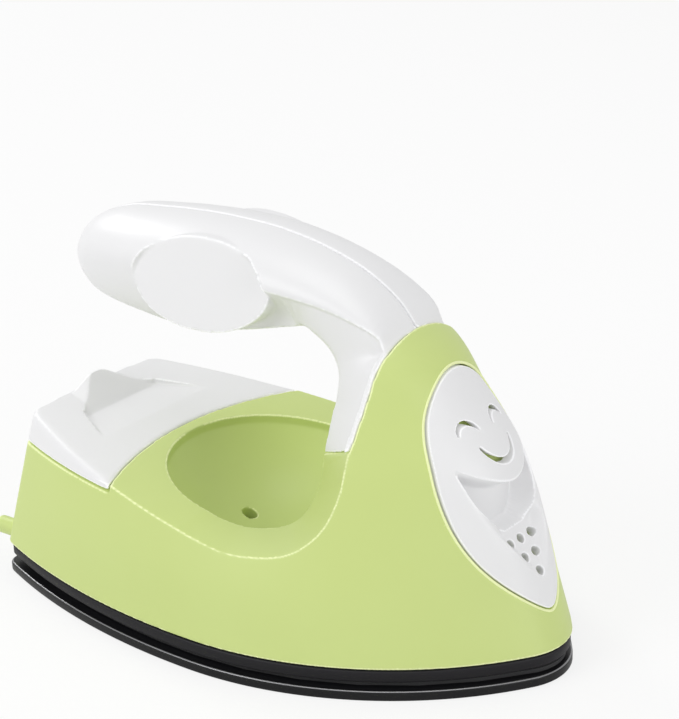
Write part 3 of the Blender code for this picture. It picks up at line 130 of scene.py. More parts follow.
def block(name, low, high):
    outline = [(low[0], low[1]), (high[0], low[1]), (high[0], high[1]), (low[0], high[1])]
    return prism(name, outline, "Z", low[2], high[2])


def turned(name, profile, place, pointing=(0, 0, 1), sides=48):  # radius and height along a direction
    turn = Vector(pointing).to_track_quat("Z", "Y")
    turns = steps(0, 2 * math.pi, sides)[:-1]
    rings = []
    for radius, height in profile:
        ring = [Vector((radius * math.cos(a), radius * math.sin(a), height)) for a in turns]
        rings.append([Vector(place) + turn @ p for p in ring])
    return loftRings(name, rings)


def bake(piece):  # modifiers become mesh
    bpy.context.view_layer.update()
    mesh = bpy.data.meshes.new_from_object(piece.evaluated_get(bpy.context.evaluated_depsgraph_get()))
    piece.modifiers.clear()
    old = piece.data
    piece.data = mesh
    bpy.data.meshes.remove(old)
    return piece


def carve(target, other, how="DIFFERENCE"):
    modifier = target.modifiers.new("carve", "BOOLEAN")
    modifier.operation = how
    modifier.solver = "MANIFOLD"
    modifier.object = other
    bake(target)
    bpy.data.objects.remove(other)
    return target


# Even quads over the carved shape, eased so that every edge gets the small radius of a moulding
def mould(piece, voxel, rounds, tris=None):
    remesh = piece.modifiers.new("even quads", "REMESH")
    remesh.mode = "VOXEL"
    remesh.voxel_size = voxel
    ease = piece.modifiers.new("edge radius", "SMOOTH")
    ease.factor = 0.5
    ease.iterations = rounds
    bake(piece)
    if tris and 2 * len(piece.data.polygons) > tris:
        thin = piece.modifiers.new("fewer faces", "DECIMATE")
        thin.ratio = tris / (2 * len(piece.data.polygons))
        bake(piece)
    print("moulded", piece.name, len(piece.data.polygons), "faces")
    return piece


def soften(piece, weight, rounds):  # more easing where weight says
    group = piece.vertex_groups.new(name="softer")
    for vertex in piece.data.vertices:
        share = weight(vertex.co)
        if share > 0.01:
            group.add([vertex.index], min(share, 1.0), "REPLACE")
    ease = piece.modifiers.new("softer edge", "SMOOTH")
    ease.factor = 0.5
    ease.iterations = rounds
    ease.vertex_group = group.name
    bake(piece)
    piece.vertex_groups.clear()
    return piece


def markRidges(piece, rounds=2):  # how strongly each point bulges, per millimetre, for the finishes
    mesh = piece.data
    count = len(mesh.vertices)
    places, normals = numpy.empty(count * 3), numpy.empty(count * 3)
    mesh.vertices.foreach_get("co", places)
    mesh.vertices.foreach_get("normal", normals)
    places, normals = places.reshape(-1, 3), normals.reshape(-1, 3)
    ends = numpy.empty(len(mesh.edges) * 2, dtype=numpy.int64)
    mesh.edges.foreach_get("vertices", ends)
    here, there = ends[0::2], ends[1::2]
    step = places[there] - places[here]
    length = numpy.maximum((step**2).sum(1), 1e-6)
    bulge = -(normals[here] * step).sum(1) / length, (normals[there] * step).sum(1) / length
    degree = numpy.bincount(here, minlength=count) + numpy.bincount(there, minlength=count)
    degree = numpy.maximum(degree, 1)
    total = numpy.bincount(here, bulge[0], count) + numpy.bincount(there, bulge[1], count)
    value = 2 * total / degree
    for _ in range(rounds):
        near = numpy.bincount(here, value[there], count) + numpy.bincount(there, value[here], count)
        value = (value + near / degree) / 2
    layer = mesh.attributes.new("ridge", "FLOAT", "POINT")
    layer.data.foreach_set("value", value.astype(numpy.float32))
    return piece


def settle(piece, body, slotName, paint, *nodes, angle=None):  # into the frame, in metres
    markRidges(piece)
    piece.data.transform(Matrix.Translation((iron["shiftX"] * mm, 0, 0)) @ Matrix.Scale(mm, 4))
    piece.data.shade_smooth()
    if angle:
        piece.data.set_sharp_from_angle(angle=math.radians(angle))
    piece.data.materials.clear()
    piece.data.materials.append(paint)
    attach(piece, body)
    if nodes:
        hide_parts(*nodes)
    return piece


# Finishes
def hexColour(code):  # sRGB hex to linear
    values = [int(code[k : k + 2], 16) / 255 for k in (0, 2, 4)]
    return tuple(v / 12.92 if v <= 0.04045 else ((v + 0.055) / 1.055) ** 2.4 for v in values) + (1.0,)


# links holds rows of input, source node and the source's output
def addNode(tree, kind, links=(), **settings):
    made = tree.nodes.new("ShaderNode" + kind)
    for key, value in settings.items():
        if hasattr(made, key):
            setattr(made, key, value)
        else:
            made.inputs[key].default_value = value
    for target, source, output in links:
        tree.links.new(source.outputs[output], made.inputs[target])
    return made


def newMaterial(name):
    paint = bpy.data.materials.new(name)
    paint.use_nodes = True
    tree = paint.node_tree
    shader = tree.nodes["Principled BSDF"]
    coords = addNode(tree, "TexCoord")
    return paint, tree, shader, coords


# Colours in sRGB hex, grain in millimetres; the edge colours are painted highlights, with their limits in
# bulge per millimetre
finish = {
    "green": "C9D889", "greenShade": "C4D381", "greenEdge": "EDF5B8",
    "white": "E9E9EA", "whiteShade": "E5E5E6", "whiteEdge": "FAFAFC",
    "black": "151416", "blackShade": "19181A", "blackEdge": "2A292D",
    "sole": "161618", "soleShade": "121214", "soleEdge": "8E8E90",
    "grain": 0.45, "grainDepth": 0.006, "highlightFrom": 0.5, "highlightFull": 1.25, "bareHighlightFrom": 0.9,
}


def skinOf(tree, shader, pattern, roughness, spread, strength, depth):  # gloss and relief follow one pattern
    ends = {"To Min": roughness - spread, "To Max": roughness + spread}
    gloss = addNode(tree, "MapRange", [("Value", pattern, "Fac")], **ends)
    relief = addNode(tree, "Bump", [("Height", pattern, "Fac")], Strength=strength, Distance=depth * mm)
    tree.links.new(gloss.outputs["Result"], shader.inputs["Roughness"])
    tree.links.new(relief.outputs["Normal"], shader.inputs["Normal"])


# Injection-moulded plastic: an even colour with a painted highlight, paler, along its bulging edges, and a
# fine spark-eroded skin that breaks the shine up. The grain is about 0.1 mm on the real skin, drawn coarser
# so that it shows.
def mouldedPlastic(name, colour, roughness, grain=finish["grain"], depth=finish["grainDepth"]):
    paint, tree, shader, coords = newMaterial(name)
    base, shade, edge = (hexColour(finish[colour + ending]) for ending in ("", "Shade", "Edge"))
    flow = addNode(tree, "TexNoise", [("Vector", coords, "Object")], Scale=45.0, Detail=2.0)
    tone = addNode(tree, "Mix", [("Factor", flow, "Fac")], data_type="RGBA", A=shade, B=base)
    # painted highlight: the colour turns paler where the surface bulges over an edge
    ridge = addNode(tree, "Attribute", attribute_name="ridge")
    ends = {"From Min": finish["highlightFrom"], "From Max": finish["highlightFull"]}
    rim = addNode(tree, "MapRange", [("Value", ridge, "Fac")], **ends)
    lit = addNode(tree, "Mix", [("Factor", rim, "Result"), ("A", tone, "Result")], data_type="RGBA", B=edge)
    tree.links.new(lit.outputs["Result"], shader.inputs["Base Color"])
    skin = addNode(tree, "TexNoise", [("Vector", coords, "Object")], Scale=1000.0 / grain, Detail=3.0)
    skinOf(tree, shader, skin, roughness, 0.05, 0.25, depth)
    shader.inputs["IOR"].default_value = 1.5
    return paint


# Spray-coated cast aluminium: near-black film with fine fleck and a sheen, with a painted highlight of bright
# bare metal along its upper edge
def coatedAluminium(name):
    paint, tree, shader, coords = newMaterial(name)
    base, shade, highlightColour = (hexColour(finish["sole" + ending]) for ending in ("", "Shade", "Edge"))
    fleck = addNode(tree, "TexNoise", [("Vector", coords, "Object")], Scale=2200.0, Detail=4.0)
    spots = addNode(tree, "MapRange", [("Value", fleck, "Fac")], **{"From Min": 0.35, "From Max": 0.75})
    film = addNode(tree, "Mix", [("Factor", spots, "Result")], data_type="RGBA", A=shade, B=base)
    skinOf(tree, shader, fleck, 0.3, 0.06, 0.15, 0.01)
    # painted highlight: bright bare metal along the bulging upper edge, standing in for the line of light
    # there
    ridge = addNode(tree, "Attribute", attribute_name="ridge")
    bulging = addNode(tree, "Math", [(0, ridge, "Fac")], operation="GREATER_THAN")
    bulging.inputs[1].default_value = finish["bareHighlightFrom"]
    place = addNode(tree, "SeparateXYZ", [(0, coords, "Object")])
    upper = addNode(tree, "Math", [(0, place, "Z")], operation="GREATER_THAN")
    upper.inputs[1].default_value = (iron["soleThickness"] - 0.4 * iron["soleEdge"]) * mm
    bareHighlight = addNode(tree, "Math", [(0, bulging, 0), (1, upper, 0)], operation="MULTIPLY")
    edge = addNode(tree, "Mix", [("Factor", bareHighlight, 0), ("A", film, "Result")], data_type="RGBA", B=highlightColour)
    tree.links.new(edge.outputs["Result"], shader.inputs["Base Color"])
    tree.links.new(bareHighlight.outputs[0], shader.inputs["Metallic"])
    shader.inputs["Specular IOR Level"].default_value = 0.25
    return paint


# Small metal, ceramic and rubber goods: one colour with the streaks or speckle of how it was made
def smallGoods(name, base, shade, roughness, metallic, grain, stretch=(1, 1, 1), depth=0.01):
    paint, tree, shader, coords = newMaterial(name)
    aligned = addNode(tree, "Mapping", [("Vector", coords, "Object")], Scale=stretch)
    speckle = addNode(tree, "TexNoise", [("Vector", aligned, "Vector")], Scale=1000.0 / grain, Detail=3.0)
    colours = {"A": hexColour(shade), "B": hexColour(base)}
    tone = addNode(tree, "Mix", [("Factor", speckle, "Fac")], data_type="RGBA", **colours)
    tree.links.new(tone.outputs["Result"], shader.inputs["Base Color"])
    skinOf(tree, shader, speckle, roughness, 0.06, 0.2, depth)
    shader.inputs["Metallic"].default_value = metallic
    return paint


greenAbs = mouldedPlastic("green ABS, moulded satin", "green", 0.42)
whiteAbs = mouldedPlastic("white ABS, moulded satin", "white", 0.38)
blackNylon = mouldedPlastic("black glass-filled nylon, moulded", "black", 0.42, 0.4, 0.01)
blackNylon.node_tree.nodes["Principled BSDF"].inputs["Specular IOR Level"].default_value = 0.15
soleFilm = coatedAluminium("non-stick coating on cast aluminium, sprayed")
# drawn and rolled metal keeps fine streaks along the way it was worked, and a clear shine
platedSteel = smallGoods("zinc-plated steel, drawn", "B9BABB", "A3A4A6", 0.3, 1.0, 0.5)
brassSheet = smallGoods("brass sheet, stamped", "D8B572", "C29A55", 0.32, 1.0, 0.5, (1, 6, 1))
drawnAluminium = smallGoods("aluminium, deep drawn", "D5D6D8", "C2C3C6", 0.28, 1.0, 0.6, (1, 1, 8))
resistanceWire = smallGoods("resistance wire, drawn", "8C8578", "6E685C", 0.4, 1.0, 0.3)
# pressed, fired and woven goods are dull, with speckle, fine pores or the ribs of the weave
micaSheet = smallGoods("mica sheet, pressed", "B8A27C", "8F7A58", 0.5, 0.0, 1.2, depth=0.02)
steatite = smallGoods("steatite ceramic, fired", "DCD5C6", "CCC3B0", 0.55, 0.0, 0.4)
blackRubber = smallGoods("black rubber, moulded", "2B2B2D", "1F1F21", 0.7, 0.0, 0.4)
blackPhenolic = smallGoods("black phenolic, pressed", "2A292A", "1D1C1D", 0.45, 0.0, 0.5)
glassSleeve = smallGoods("woven glass sleeve", "C9C4B6", "ABA595", 0.75, 0.0, 0.35, (1, 1, 3), 0.05)
print("finishes made")

hullLook = {
    "height": 53.1, "wall": 1.8, "bottom": 5.3, "heelLean": 0.11, "heelTaper": 0.242, "heelOut": 0.55,
    "saddle": 21.0, "saddleSlope": 0.155, "dishRadius": 19.5, "dishX": -5.3, "dishStep": 1.5,
    "bowlBottom": 10.3, "bowlRound": 0.855, "pedestalBack": 32.65, "pedestalFront": 37.4,
    "rimX": 20.8, "rimLean": 0.075, "rimWeb": 1.2, "rimSoft": 1.2, "rimRounds": 8, "mouthReach": 3.8,
    "planeAngle": 92.0, "ledgeAngle": 130.0, "rimAngle": 33.4, "sideAngle": 45.0, "ledge": 1.5,
    "ceiling": 68.0, "screwX": -13.2, "screwShank": 1.1, "screwBore": 1.3, "headSeat": 7.6, "bossRadius": 2.8,
    "pegReach": 4.7, "pegRadius": 1.55, "pegRound": 0.4, "pegY": 18.5, "pegZ": 6.4,
    "voxel": 0.22, "rounds": 3, "tris": 196000,
}
# Height, nose x, nose radius and half width, as shares of the hull's height, the half length, the sole's
# nose radius and the half width
hullRows = (
    (0.099, 0.981, 1.07, 0.994), (0.264, 0.922, 1.12, 0.948), (0.452, 0.862, 1.22, 0.851),
    (0.640, 0.777, 1.29, 0.738), (0.791, 0.646, 1.34, 0.634), (0.904, 0.562, 1.33, 0.528),
    (1.000, 0.433, 1.21, 0.415), (1.100, 0.260, 0.90, 0.270),
)
# Rim band: angle from +X, then inner and outer height as shares of the pedestal's back and front
bandRows = (
    (0.0, 1.000, 1.000), (32.6, 1.000, 1.000), (33.3, 0.965, 1.000), (34.0, 0.900, 0.982),
    (35.0, 0.850, 0.943), (36.5, 0.807, 0.869), (39.5, 0.750, 0.767), (42.0, 0.711, 0.706),
    (45.0, 0.677, 0.655), (50.0, 0.646, 0.599), (54.0, 0.634, 0.575), (59.0, 0.627, 0.560),
    (69.0, 0.625, 0.548), (82.0, 0.645, 0.567), (92.0, 0.671, 0.588),
)
halfLength, halfWide = iron["soleLength"] / 2, iron["soleWidth"] / 2
gap = iron["gap"]


def hullSizes(z):
    share, rise = z / hullLook["height"], z - hullLook["bottom"]
    return (
        halfLength * cubicAt(hullRows, share, 1),
        iron["noseRadius"] * cubicAt(hullRows, share, 2),
        halfWide * cubicAt(hullRows, share, 3),
        -halfLength - hullLook["heelOut"] + hullLook["heelLean"] * rise,
        iron["heelWidth"] / 2 - hullLook["heelTaper"] * rise,
    )


soleSizes = (
    halfLength - iron["noseTrim"], iron["noseRadius"] * iron["soleNoseRound"], halfWide,
    -halfLength - iron["soleHeelOut"], iron["heelWidth"] / 2,
)


def arcsOf(sizes, inset):  # the teardrop's arcs: centre of the widest line, side radius and join to the nose
    nose, noseR, half, tail, tailHalf = sizes
    nose, noseR, half = nose - inset, noseR - inset, half - inset
    tail, tailHalf = tail + inset, tailHalf - inset
    lead = nose - noseR - iron["widestX"]
    sideR = (lead**2 + half**2 - noseR**2) / (2 * (half - noseR))
    join = math.atan2(sideR - half, lead)
    run, drop = iron["widestX"] - tail, half - tailHalf
    return nose, noseR, half, tail, tailHalf, sideR, join, (run**2 + drop**2) / (2 * drop)


def halfWidthAt(x, sizes, inset=0.0):
    nose, noseR, half, tail, tailHalf, sideR, join, rearR = arcsOf(sizes, inset)
    wide = iron["widestX"]
    if x >= nose or x <= tail:
        return 0.0
    if x > nose - noseR + noseR * math.cos(join):
        return math.sqrt(max(noseR**2 - (x - nose + noseR) ** 2, 0.0))
    if x > wide:
        return half - sideR + math.sqrt(sideR**2 - (x - wide) ** 2)
    return half - rearR + math.sqrt(rearR**2 - (x - wide) ** 2)


def frontX(y, z):  # x of the hull's front surface
    nose, noseR, half, tail, tailHalf, sideR, join, rearR = arcsOf(hullSizes(z), 0.0)
    if abs(y) <= noseR * math.sin(join):
        return nose - noseR + math.sqrt(noseR**2 - y * y)
    return iron["widestX"] + math.sqrt(max(sideR**2 - (abs(y) - half + sideR) ** 2, 0.0))


def teardrop(sizes, inset=0.0, counts=(26, 36, 36, 8)):
    nose, noseR, half, tail, tailHalf, sideR, join, rearR = arcsOf(sizes, inset)
    wide, corner = iron["widestX"], iron["heelCorner"]
    points = [(nose - noseR + noseR * math.cos(a), noseR * math.sin(a)) for a in steps(0, join, counts[0])]
    side = steps(join, math.pi / 2, counts[1])[1:]
    points += [(wide + sideR * math.cos(a), half - sideR + sideR * math.sin(a)) for a in side]
    rear = steps(0, math.asin((wide - tail - corner) / rearR), counts[2])[1:]
    points += [(wide - rearR * math.sin(a), half - rearR + rearR * math.cos(a)) for a in rear]
    (ax, ay), (bx, by), (cx, cy) = points[-1], (tail, tailHalf), (tail, tailHalf - corner)
    for t in steps(0, 1, counts[3])[1:]:
        p, q, r = (1 - t) ** 2, 2 * t * (1 - t), t * t
        points.append((p * ax + q * bx + r * cx, p * ay + q * by + r * cy))
    points.append((tail, 0.0))
    return points + [(x, -y) for x, y in reversed(points[1:-1])]


def layer(outline, z):
    return [(x, y, z) for x, y in outline]


def hullBlock(name, inset, low, high, rise=1.0):
    heights = steps(low, high, max(int((high - low) / rise), 2))
    return loftRings(name, [layer(teardrop(hullSizes(z), inset), z) for z in heights])


def reachAt(z, angle):  # from the dish's axis out to the hull's surface
    sizes = hullSizes(z)
    near, far = 0.0, iron["soleLength"]
    for _ in range(32):
        middle = (near + far) / 2
        x, y = hullLook["dishX"] + middle * math.cos(angle), middle * math.sin(angle)
        near, far = (middle, far) if abs(y) < halfWidthAt(x, sizes) else (near, middle)
    return near


def saddleAt(x):
    return hullLook["saddle"] - hullLook["saddleSlope"] * x


def rimAt(z):  # x of the edge round the neck
    return hullLook["rimX"] + hullLook["rimLean"] * (z - hullLook["pedestalFront"])


def bowlAt(share, angle, wall):
    look = hullLook
    rim = saddleAt(look["dishX"] + look["dishRadius"] * math.cos(angle)) - look["dishStep"]
    k = look["bowlRound"]
    curve = (1 - math.sqrt(1 - (k * share) ** 2)) / (1 - math.sqrt(1 - k * k))
    return look["bowlBottom"] + (rim - look["bowlBottom"]) * curve - wall


def bandEnd(degrees, innerR, innerZ, wall, rimX):
    look, angle = hullLook, math.radians(degrees)
    if degrees >= look["planeAngle"]:
        distance = reachAt(saddleAt(look["dishX"] - look["dishRadius"]), angle) + 2.0
        return distance, saddleAt(look["dishX"] + distance * math.cos(angle)) - wall
    lipZ = look["pedestalFront"] * cubicAt(bandRows, degrees, 2)
    fromRim = (look["rimX"] - look["dishX"]) / math.cos(angle)
    lipR = reachAt(lipZ, angle) if degrees > look["rimAngle"] else fromRim
    distance = lipR + 4.0
    if degrees <= look["sideAngle"]:
        distance = (rimX - look["dishX"]) / math.cos(angle)
    grade = (lipZ - wall - innerZ) / (lipR - innerR)
    return distance, innerZ + grade * (distance - innerR)


def openAir(name, wall, rimX, ledge=0.0):  # all the space above the hull's top surface
    look = hullLook
    fine = steps(0, 32, 32) + steps(32.6, 38, 18) + steps(38.5, 92, 72)
    half = fine + steps(92.0, 180.0, 72)[1:]
    turns = half + [-a for a in reversed(half[1:-1])]
    shares = steps(0, 1, 28)[1:]
    rings = [[] for _ in range(len(shares) + 3)]
    for degrees in turns:
        angle, size = math.radians(degrees), abs(degrees)
        innerR = look["dishRadius"] + wall
        if size >= look["planeAngle"]:
            innerZ = saddleAt(look["dishX"] + innerR * math.cos(angle)) - wall
        else:
            innerZ = look["pedestalBack"] * cubicAt(bandRows, size, 1) - wall
        farR, farZ = bandEnd(size, innerR, innerZ, wall, rimX)
        past = (size - look["planeAngle"]) / (look["ledgeAngle"] - look["planeAngle"])
        sink = ledge * min(max(past, 0.0), 1.0)
        innerZ, farZ = innerZ - sink, farZ - sink
        spoke = [(innerR * share, bowlAt(share, angle, wall)) for share in shares]
        spoke += [(innerR, innerZ), (farR, farZ), (farR, look["ceiling"])]
        for ring, (radius, z) in zip(rings, spoke):
            ring.append([look["dishX"] + radius * math.cos(angle), radius * math.sin(angle), z])
        if size <= look["sideAngle"]:
            rings[-1][-1][0] = rimX + look["rimLean"] * (look["ceiling"] - look["pedestalFront"])
    floor = (look["dishX"], 0.0, look["bowlBottom"] - wall)
    return loftRings(name, rings, first=floor, last=(look["dishX"], 0.0, look["ceiling"]))


coverLook = {
    "arc": 62.0, "band": 2.2, "seam": 23.35, "top": 34.0, "scoopX": -41.5, "scoopHalf": 9.2,
    "scoopDepth": 1.2, "scoopRise": 1.2, "spread": 1.6, "hoodHalf": 7.8, "hoodRise": 2.5,
    "hoodBack": -47.4, "hoodLength": 5.9, "hoodWall": 1.3, "ridge": 1.5,
    "glandZ": 26.2, "glandHole": 2.3, "glandDepth": 1.7,
    "frontSoft": 1.6, "frontRounds": 16, "sideSoft": 3.6, "sideRounds": 90, "voxel": 0.22, "rounds": 4,
}
coverApex = hullLook["dishX"] - hullLook["dishRadius"] - coverLook["band"]


def heelRegion(name, shift, low):
    middle = coverApex + coverLook["arc"]
    ys = steps(-halfWide - 2, halfWide + 2, 61)
    outline = [(middle - math.sqrt(coverLook["arc"] ** 2 - y * y) - shift, y) for y in ys]
    outline += [(-halfLength - 7, halfWide + 2), (-halfLength - 7, -halfWide - 2)]
    return prism(name, outline, "Z", low, hullLook["ceiling"])


noseLook = {
    "halfWidth": 11.8, "halfHeight": 18.3, "middle": 29.4, "taper": 0.47, "taperPower": 3.5, "wall": 1.7,
    "linerGap": 1.3, "linerWall": 0.6, "linerSpread": 1.6, "lipRadius": 0.24, "lipSink": 0.16,
    "back": 36.6, "floorBow": 0.045, "bandSlope": 0.25, "bandShare": 0.55, "topZ": 31.7, "topRise": 3.6,
    "topHalf": 9.3, "topPower": 1.7, "rampX": 41.06, "rampZ": 21.75, "rampSlope": 1.275, "rampTop": 26.0,
    "ventBore": 0.8, "ventPitch": 2.89, "eyeY": 3.85, "eyeZ": 38.25, "eyeRadius": 2.15, "eyeTurns": (12, 168),
    "smileZ": 38.6, "smileRadius": 4.15, "smileTurns": (198, 342), "smileWide": 1.45, "slot": 0.5,
    "slotEnd": 0.07, "voxel": 0.15, "rounds": 3,
}
# How far each edge of the hollow takes to fall away, in millimetres
hollowEase = {
    "top": 2.0, "side": 2.4, "ramp": 3.0, "rampSide": 2.6, "deepTop": 2.2, "deepSide": 0.8, "deepFoot": 1.4,
}


def noseOval(grow, count=160, share=1.0):
    look, points = noseLook, []
    for k in range(count):
        a = 2 * math.pi * k / count
        narrow = 1 - look["taper"] * max(-math.sin(a), 0.0) ** look["taperPower"]
        y = (look["halfWidth"] * narrow + grow) * math.cos(a) * share
        points.append((y, look["middle"] + (look["halfHeight"] + grow) * math.sin(a) * share))
    return points


def bead(name, path, radius, sides=8):  # thin round lip along a closed path
    points, faces, count = [], [], len(path)
    path = [Vector(p) for p in path]
    for k, p in enumerate(path):
        along = (path[(k + 1) % count] - path[k - 1]).normalized()
        out = Vector((1, 0, 0)) - along * along.x
        out.normalize()
        side = along.cross(out)
        for a in steps(0, 2 * math.pi, sides)[:-1]:
            points.append(p + (out * math.cos(a) + side * math.sin(a)) * radius)
    for k in range(count):
        for j in range(sides):
            a, b = k * sides + j, k * sides + (j + 1) % sides
            c, d = (k + 1) % count * sides + (j + 1) % sides, (k + 1) % count * sides + j
            faces.append((a, b, c, d))
    return newPiece(name, points, faces)


def joinPiece(target, other):
    work = bmesh.new()
    work.from_mesh(target.data)
    work.from_mesh(other.data)
    work.to_mesh(target.data)
    work.free()
    bpy.data.objects.remove(other)
    return target


def linerBlock():  # thin plate behind the nose cover, seen through its slots
    look, middle = noseLook, noseLook["middle"]
    depth = look["wall"] + look["linerGap"]
    front, rear = [], []
    for share in (*steps(0.1, 0.9, 16), 0.95, 1.0):
        free = share < 0.93  # past that it runs into the hull's wall
        sink = depth if free else hullLook["wall"] / 2
        oval = noseOval(look["linerSpread"], 72, share)
        front.append([(frontX(y, z) - hollowNear(y, z) * free - sink, y, z) for y, z in oval])
        rear.append([(x - look["linerWall"], y, z) for x, y, z in front[-1]])
    x = frontX(0.0, middle) - hollowAt(0.0, middle) - depth
    return loftRings("liner", front + rear[::-1], (x, 0.0, middle), (x - look["linerWall"], 0.0, middle))


def makeHull():
    look = hullLook
    body = hullBlock("hull", 0.0, look["bottom"], look["height"] + 2)
    inside = hullBlock("inside", look["wall"], look["bottom"] - 2, look["height"] - look["wall"] / 2)
    carve(inside, openAir("under", look["wall"], look["rimX"] + look["rimWeb"], look["ledge"]))
    carve(body, inside)
    boss = [(look["bossRadius"], look["bottom"] + gap), (look["bossRadius"], look["saddle"])]
    carve(body, turned("boss", boss, (look["screwX"], 0, 0)), "UNION")
    carve(body, openAir("air", 0.0, look["rimX"]))
    low, high = look["pedestalFront"] - gap, look["height"] - look["wall"] / 2
    mouth = hullBlock("mouth", look["wall"] - gap, low, high)
    rear, front = look["rimX"] - 2, look["rimX"] + look["mouthReach"]
    slab = block("slab", (rear, -halfWide, look["pedestalBack"]), (front, halfWide, look["ceiling"]))
    carve(body, carve(mouth, slab, "INTERSECT"))
    carve(body, heelRegion("seat", 0.0, coverLook["seam"] - gap))
    carve(body, prism("nose mouth", noseOval(0.0), "X", look["rimX"] + look["rimWeb"] + 4, halfLength + 2))
    carve(body, linerBlock(), "UNION")
    shank, wide, seat = look["screwShank"], look["screwBore"], look["headSeat"]
    bore = [(shank, look["bottom"] - 2), (shank, seat), (wide, seat), (wide, look["saddle"])]
    carve(body, turned("bore", bore, (look["screwX"], 0, 0)))
    length, radius, tip = look["pegReach"] + look["wall"] / 2, look["pegRadius"], look["pegRound"]
    peg = [(radius, 0), (radius, length - tip), (radius - tip, length)]
    for side in (-1, 1):
        start = (-halfLength + look["wall"] / 2, side * look["pegY"], look["pegZ"])
        carve(body, turned("peg", peg, start, (-1, 0, 0)), "UNION")
    floor = look["bottom"] - gap / 2
    carve(body, block("peg root", (-halfLength - gap, -halfWide, 0), (-halfLength + 5, halfWide, floor)))
    mould(body, look["voxel"], look["rounds"], look["tris"])

    def rimEdge(p):  # evens the thin edge round the neck
        return 1 - abs(p.x - rimAt(p.z)) / look["rimSoft"] if p.z > look["pedestalBack"] + 2 else 0.0

    soften(body, rimEdge, look["rimRounds"])
    sink = noseLook["lipSink"]
    lip = [(frontX(y, z) - sink, y, z) for y, z in noseOval(sink, 240)]
    joinPiece(body, bead("nose lip", lip, noseLook["lipRadius"]))
    return settle(body, "iron", "green_plastic", greenAbs, "body_shell")


def hoodTop(x, y, lift=0.0):  # bell across the heel, widening forwards
    look = coverLook
    share = (x - look["hoodBack"]) / look["hoodLength"]
    half = look["hoodHalf"] + (look["scoopHalf"] - look["hoodHalf"]) * share
    low = saddleAt(x) - gap
    return low + (look["hoodRise"] + gap) * (0.5 + 0.5 * math.cos(math.pi * min(abs(y) / half, 1.0))) - lift


def hoodBlock(name, inset):
    look, rings = coverLook, []
    for x in steps(look["hoodBack"] + inset, look["scoopX"] - inset, 24):
        half = look["scoopHalf"] - inset
        ring = [(x, y, max(hoodTop(x, y, inset), look["seam"] + 1.5)) for y in steps(-half, half, 48)]
        rings.append(ring + [(x, half, look["seam"] + 0.6), (x, -half, look["seam"] + 0.6)])
    return loftRings(name, rings)


def leanBlock(name, start, drop):  # all that lies above the leaning face
    look, rings = coverLook, []
    ridge = saddleAt(look["hoodBack"]) + look["hoodRise"]
    foot = saddleAt(look["scoopX"]) - look["scoopDepth"]
    for lift in (0.0, 40.0):
        ring = []
        for x, way in ((start, -1), (start, 1), (look["scoopX"], 1), (look["scoopX"], -1)):
            share = (x - look["hoodBack"]) / look["hoodLength"]
            y = way * (look["ridge"] + (look["scoopHalf"] - look["ridge"]) * share + drop)
            ring.append((x, y, ridge + (foot - ridge) * share - drop + lift))
        rings.append(ring)
    return loftRings(name, rings)


def makeRearCover():
    look, wall = coverLook, hullLook["wall"]
    cover = hullBlock("rearCover", 0.0, look["seam"], look["top"], 0.6)
    carve(cover, heelRegion("keep", gap, hullLook["bottom"]), "INTERSECT")
    carve(cover, openAir("air", 0.0, hullLook["rimX"]))
    carve(cover, hoodBlock("hood", 0.0), "UNION")
    carve(cover, leanBlock("face", look["hoodBack"], 0.0))
    start, end = look["scoopX"] - gap, coverApex - 2 * look["band"]
    near, far = look["scoopHalf"], look["scoopHalf"] * look["spread"]
    rise = look["scoopRise"] * look["scoopDepth"]
    scoop = [(start, -near, 0), (start, near, 0), (end, far, rise), (end, -far, rise)]
    lows = [(x, y, saddleAt(x) - look["scoopDepth"] + lift) for x, y, lift in scoop]
    carve(cover, loftRings("scoop", [lows, [(x, y, look["top"]) for x, y, _ in scoop]]))
    room = hullBlock("room", wall, look["seam"] - 2, look["top"], 1.5)
    carve(room, openAir("under", wall, hullLook["rimX"]))
    carve(room, block("keep", (-70, -halfWide, 0), (coverApex - look["band"], halfWide, 40)), "INTERSECT")
    carve(cover, room)
    inner = hoodBlock("hood room", look["hoodWall"])
    carve(cover, carve(inner, leanBlock("under face", look["hoodBack"] - 2, look["hoodWall"])))
    hole = [(look["glandHole"], -3), (look["glandHole"], look["glandDepth"])]
    carve(cover, turned("hole", hole, (look["hoodBack"], 0, look["glandZ"]), (1, 0, 0)))
    mould(cover, look["voxel"], look["rounds"])
    middle = coverApex + look["arc"]

    def frontEdge(p):
        away = math.hypot(p.x - middle, p.y) - look["arc"]
        reach = look["frontSoft"]
        return 1 - abs(away - gap) / reach if p.z > saddleAt(p.x) - reach else 0.0

    def sideEdge(p):  # the top rolls over into the flanks and the back, clear of the hood
        sizes = hullSizes(p.z)
        inward = min(halfWidthAt(p.x, sizes) - abs(p.y), p.x - sizes[3])
        clear = max((abs(p.y) - look["scoopHalf"]) / 2.0, (p.x - look["scoopX"]) / 2.0)
        roll = 1.15 - math.hypot(max(inward, 0.0), saddleAt(p.x) - p.z) / look["sideSoft"]
        return min(roll, clear) if p.z > look["seam"] + 1.0 else 0.0

    soften(cover, frontEdge, look["frontRounds"])
    soften(cover, sideEdge, look["sideRounds"])
    return settle(cover, "iron", "white_plastic", whiteAbs, "rear_cover")


# Hollow under the smile, seen from the front: height and half width of its outer ridge and inner edge
ridgeRows = (
    (14.6, 0.0), (16.0, 1.6), (18.4, 3.3), (21.0, 4.9), (24.0, 6.7), (27.0, 8.1), (29.7, 9.0), (32.5, 9.5),
    (35.6, 9.7),
)
innerRows = ((22.9, 0.0), (23.5, 2.4), (25.0, 4.9), (27.5, 7.0), (30.0, 8.2), (32.5, 8.75), (35.2, 9.2))


def topEdge(y):
    look = noseLook
    return look["topZ"] + look["topRise"] * min(abs(y) / look["topHalf"], 1.2) ** look["topPower"]


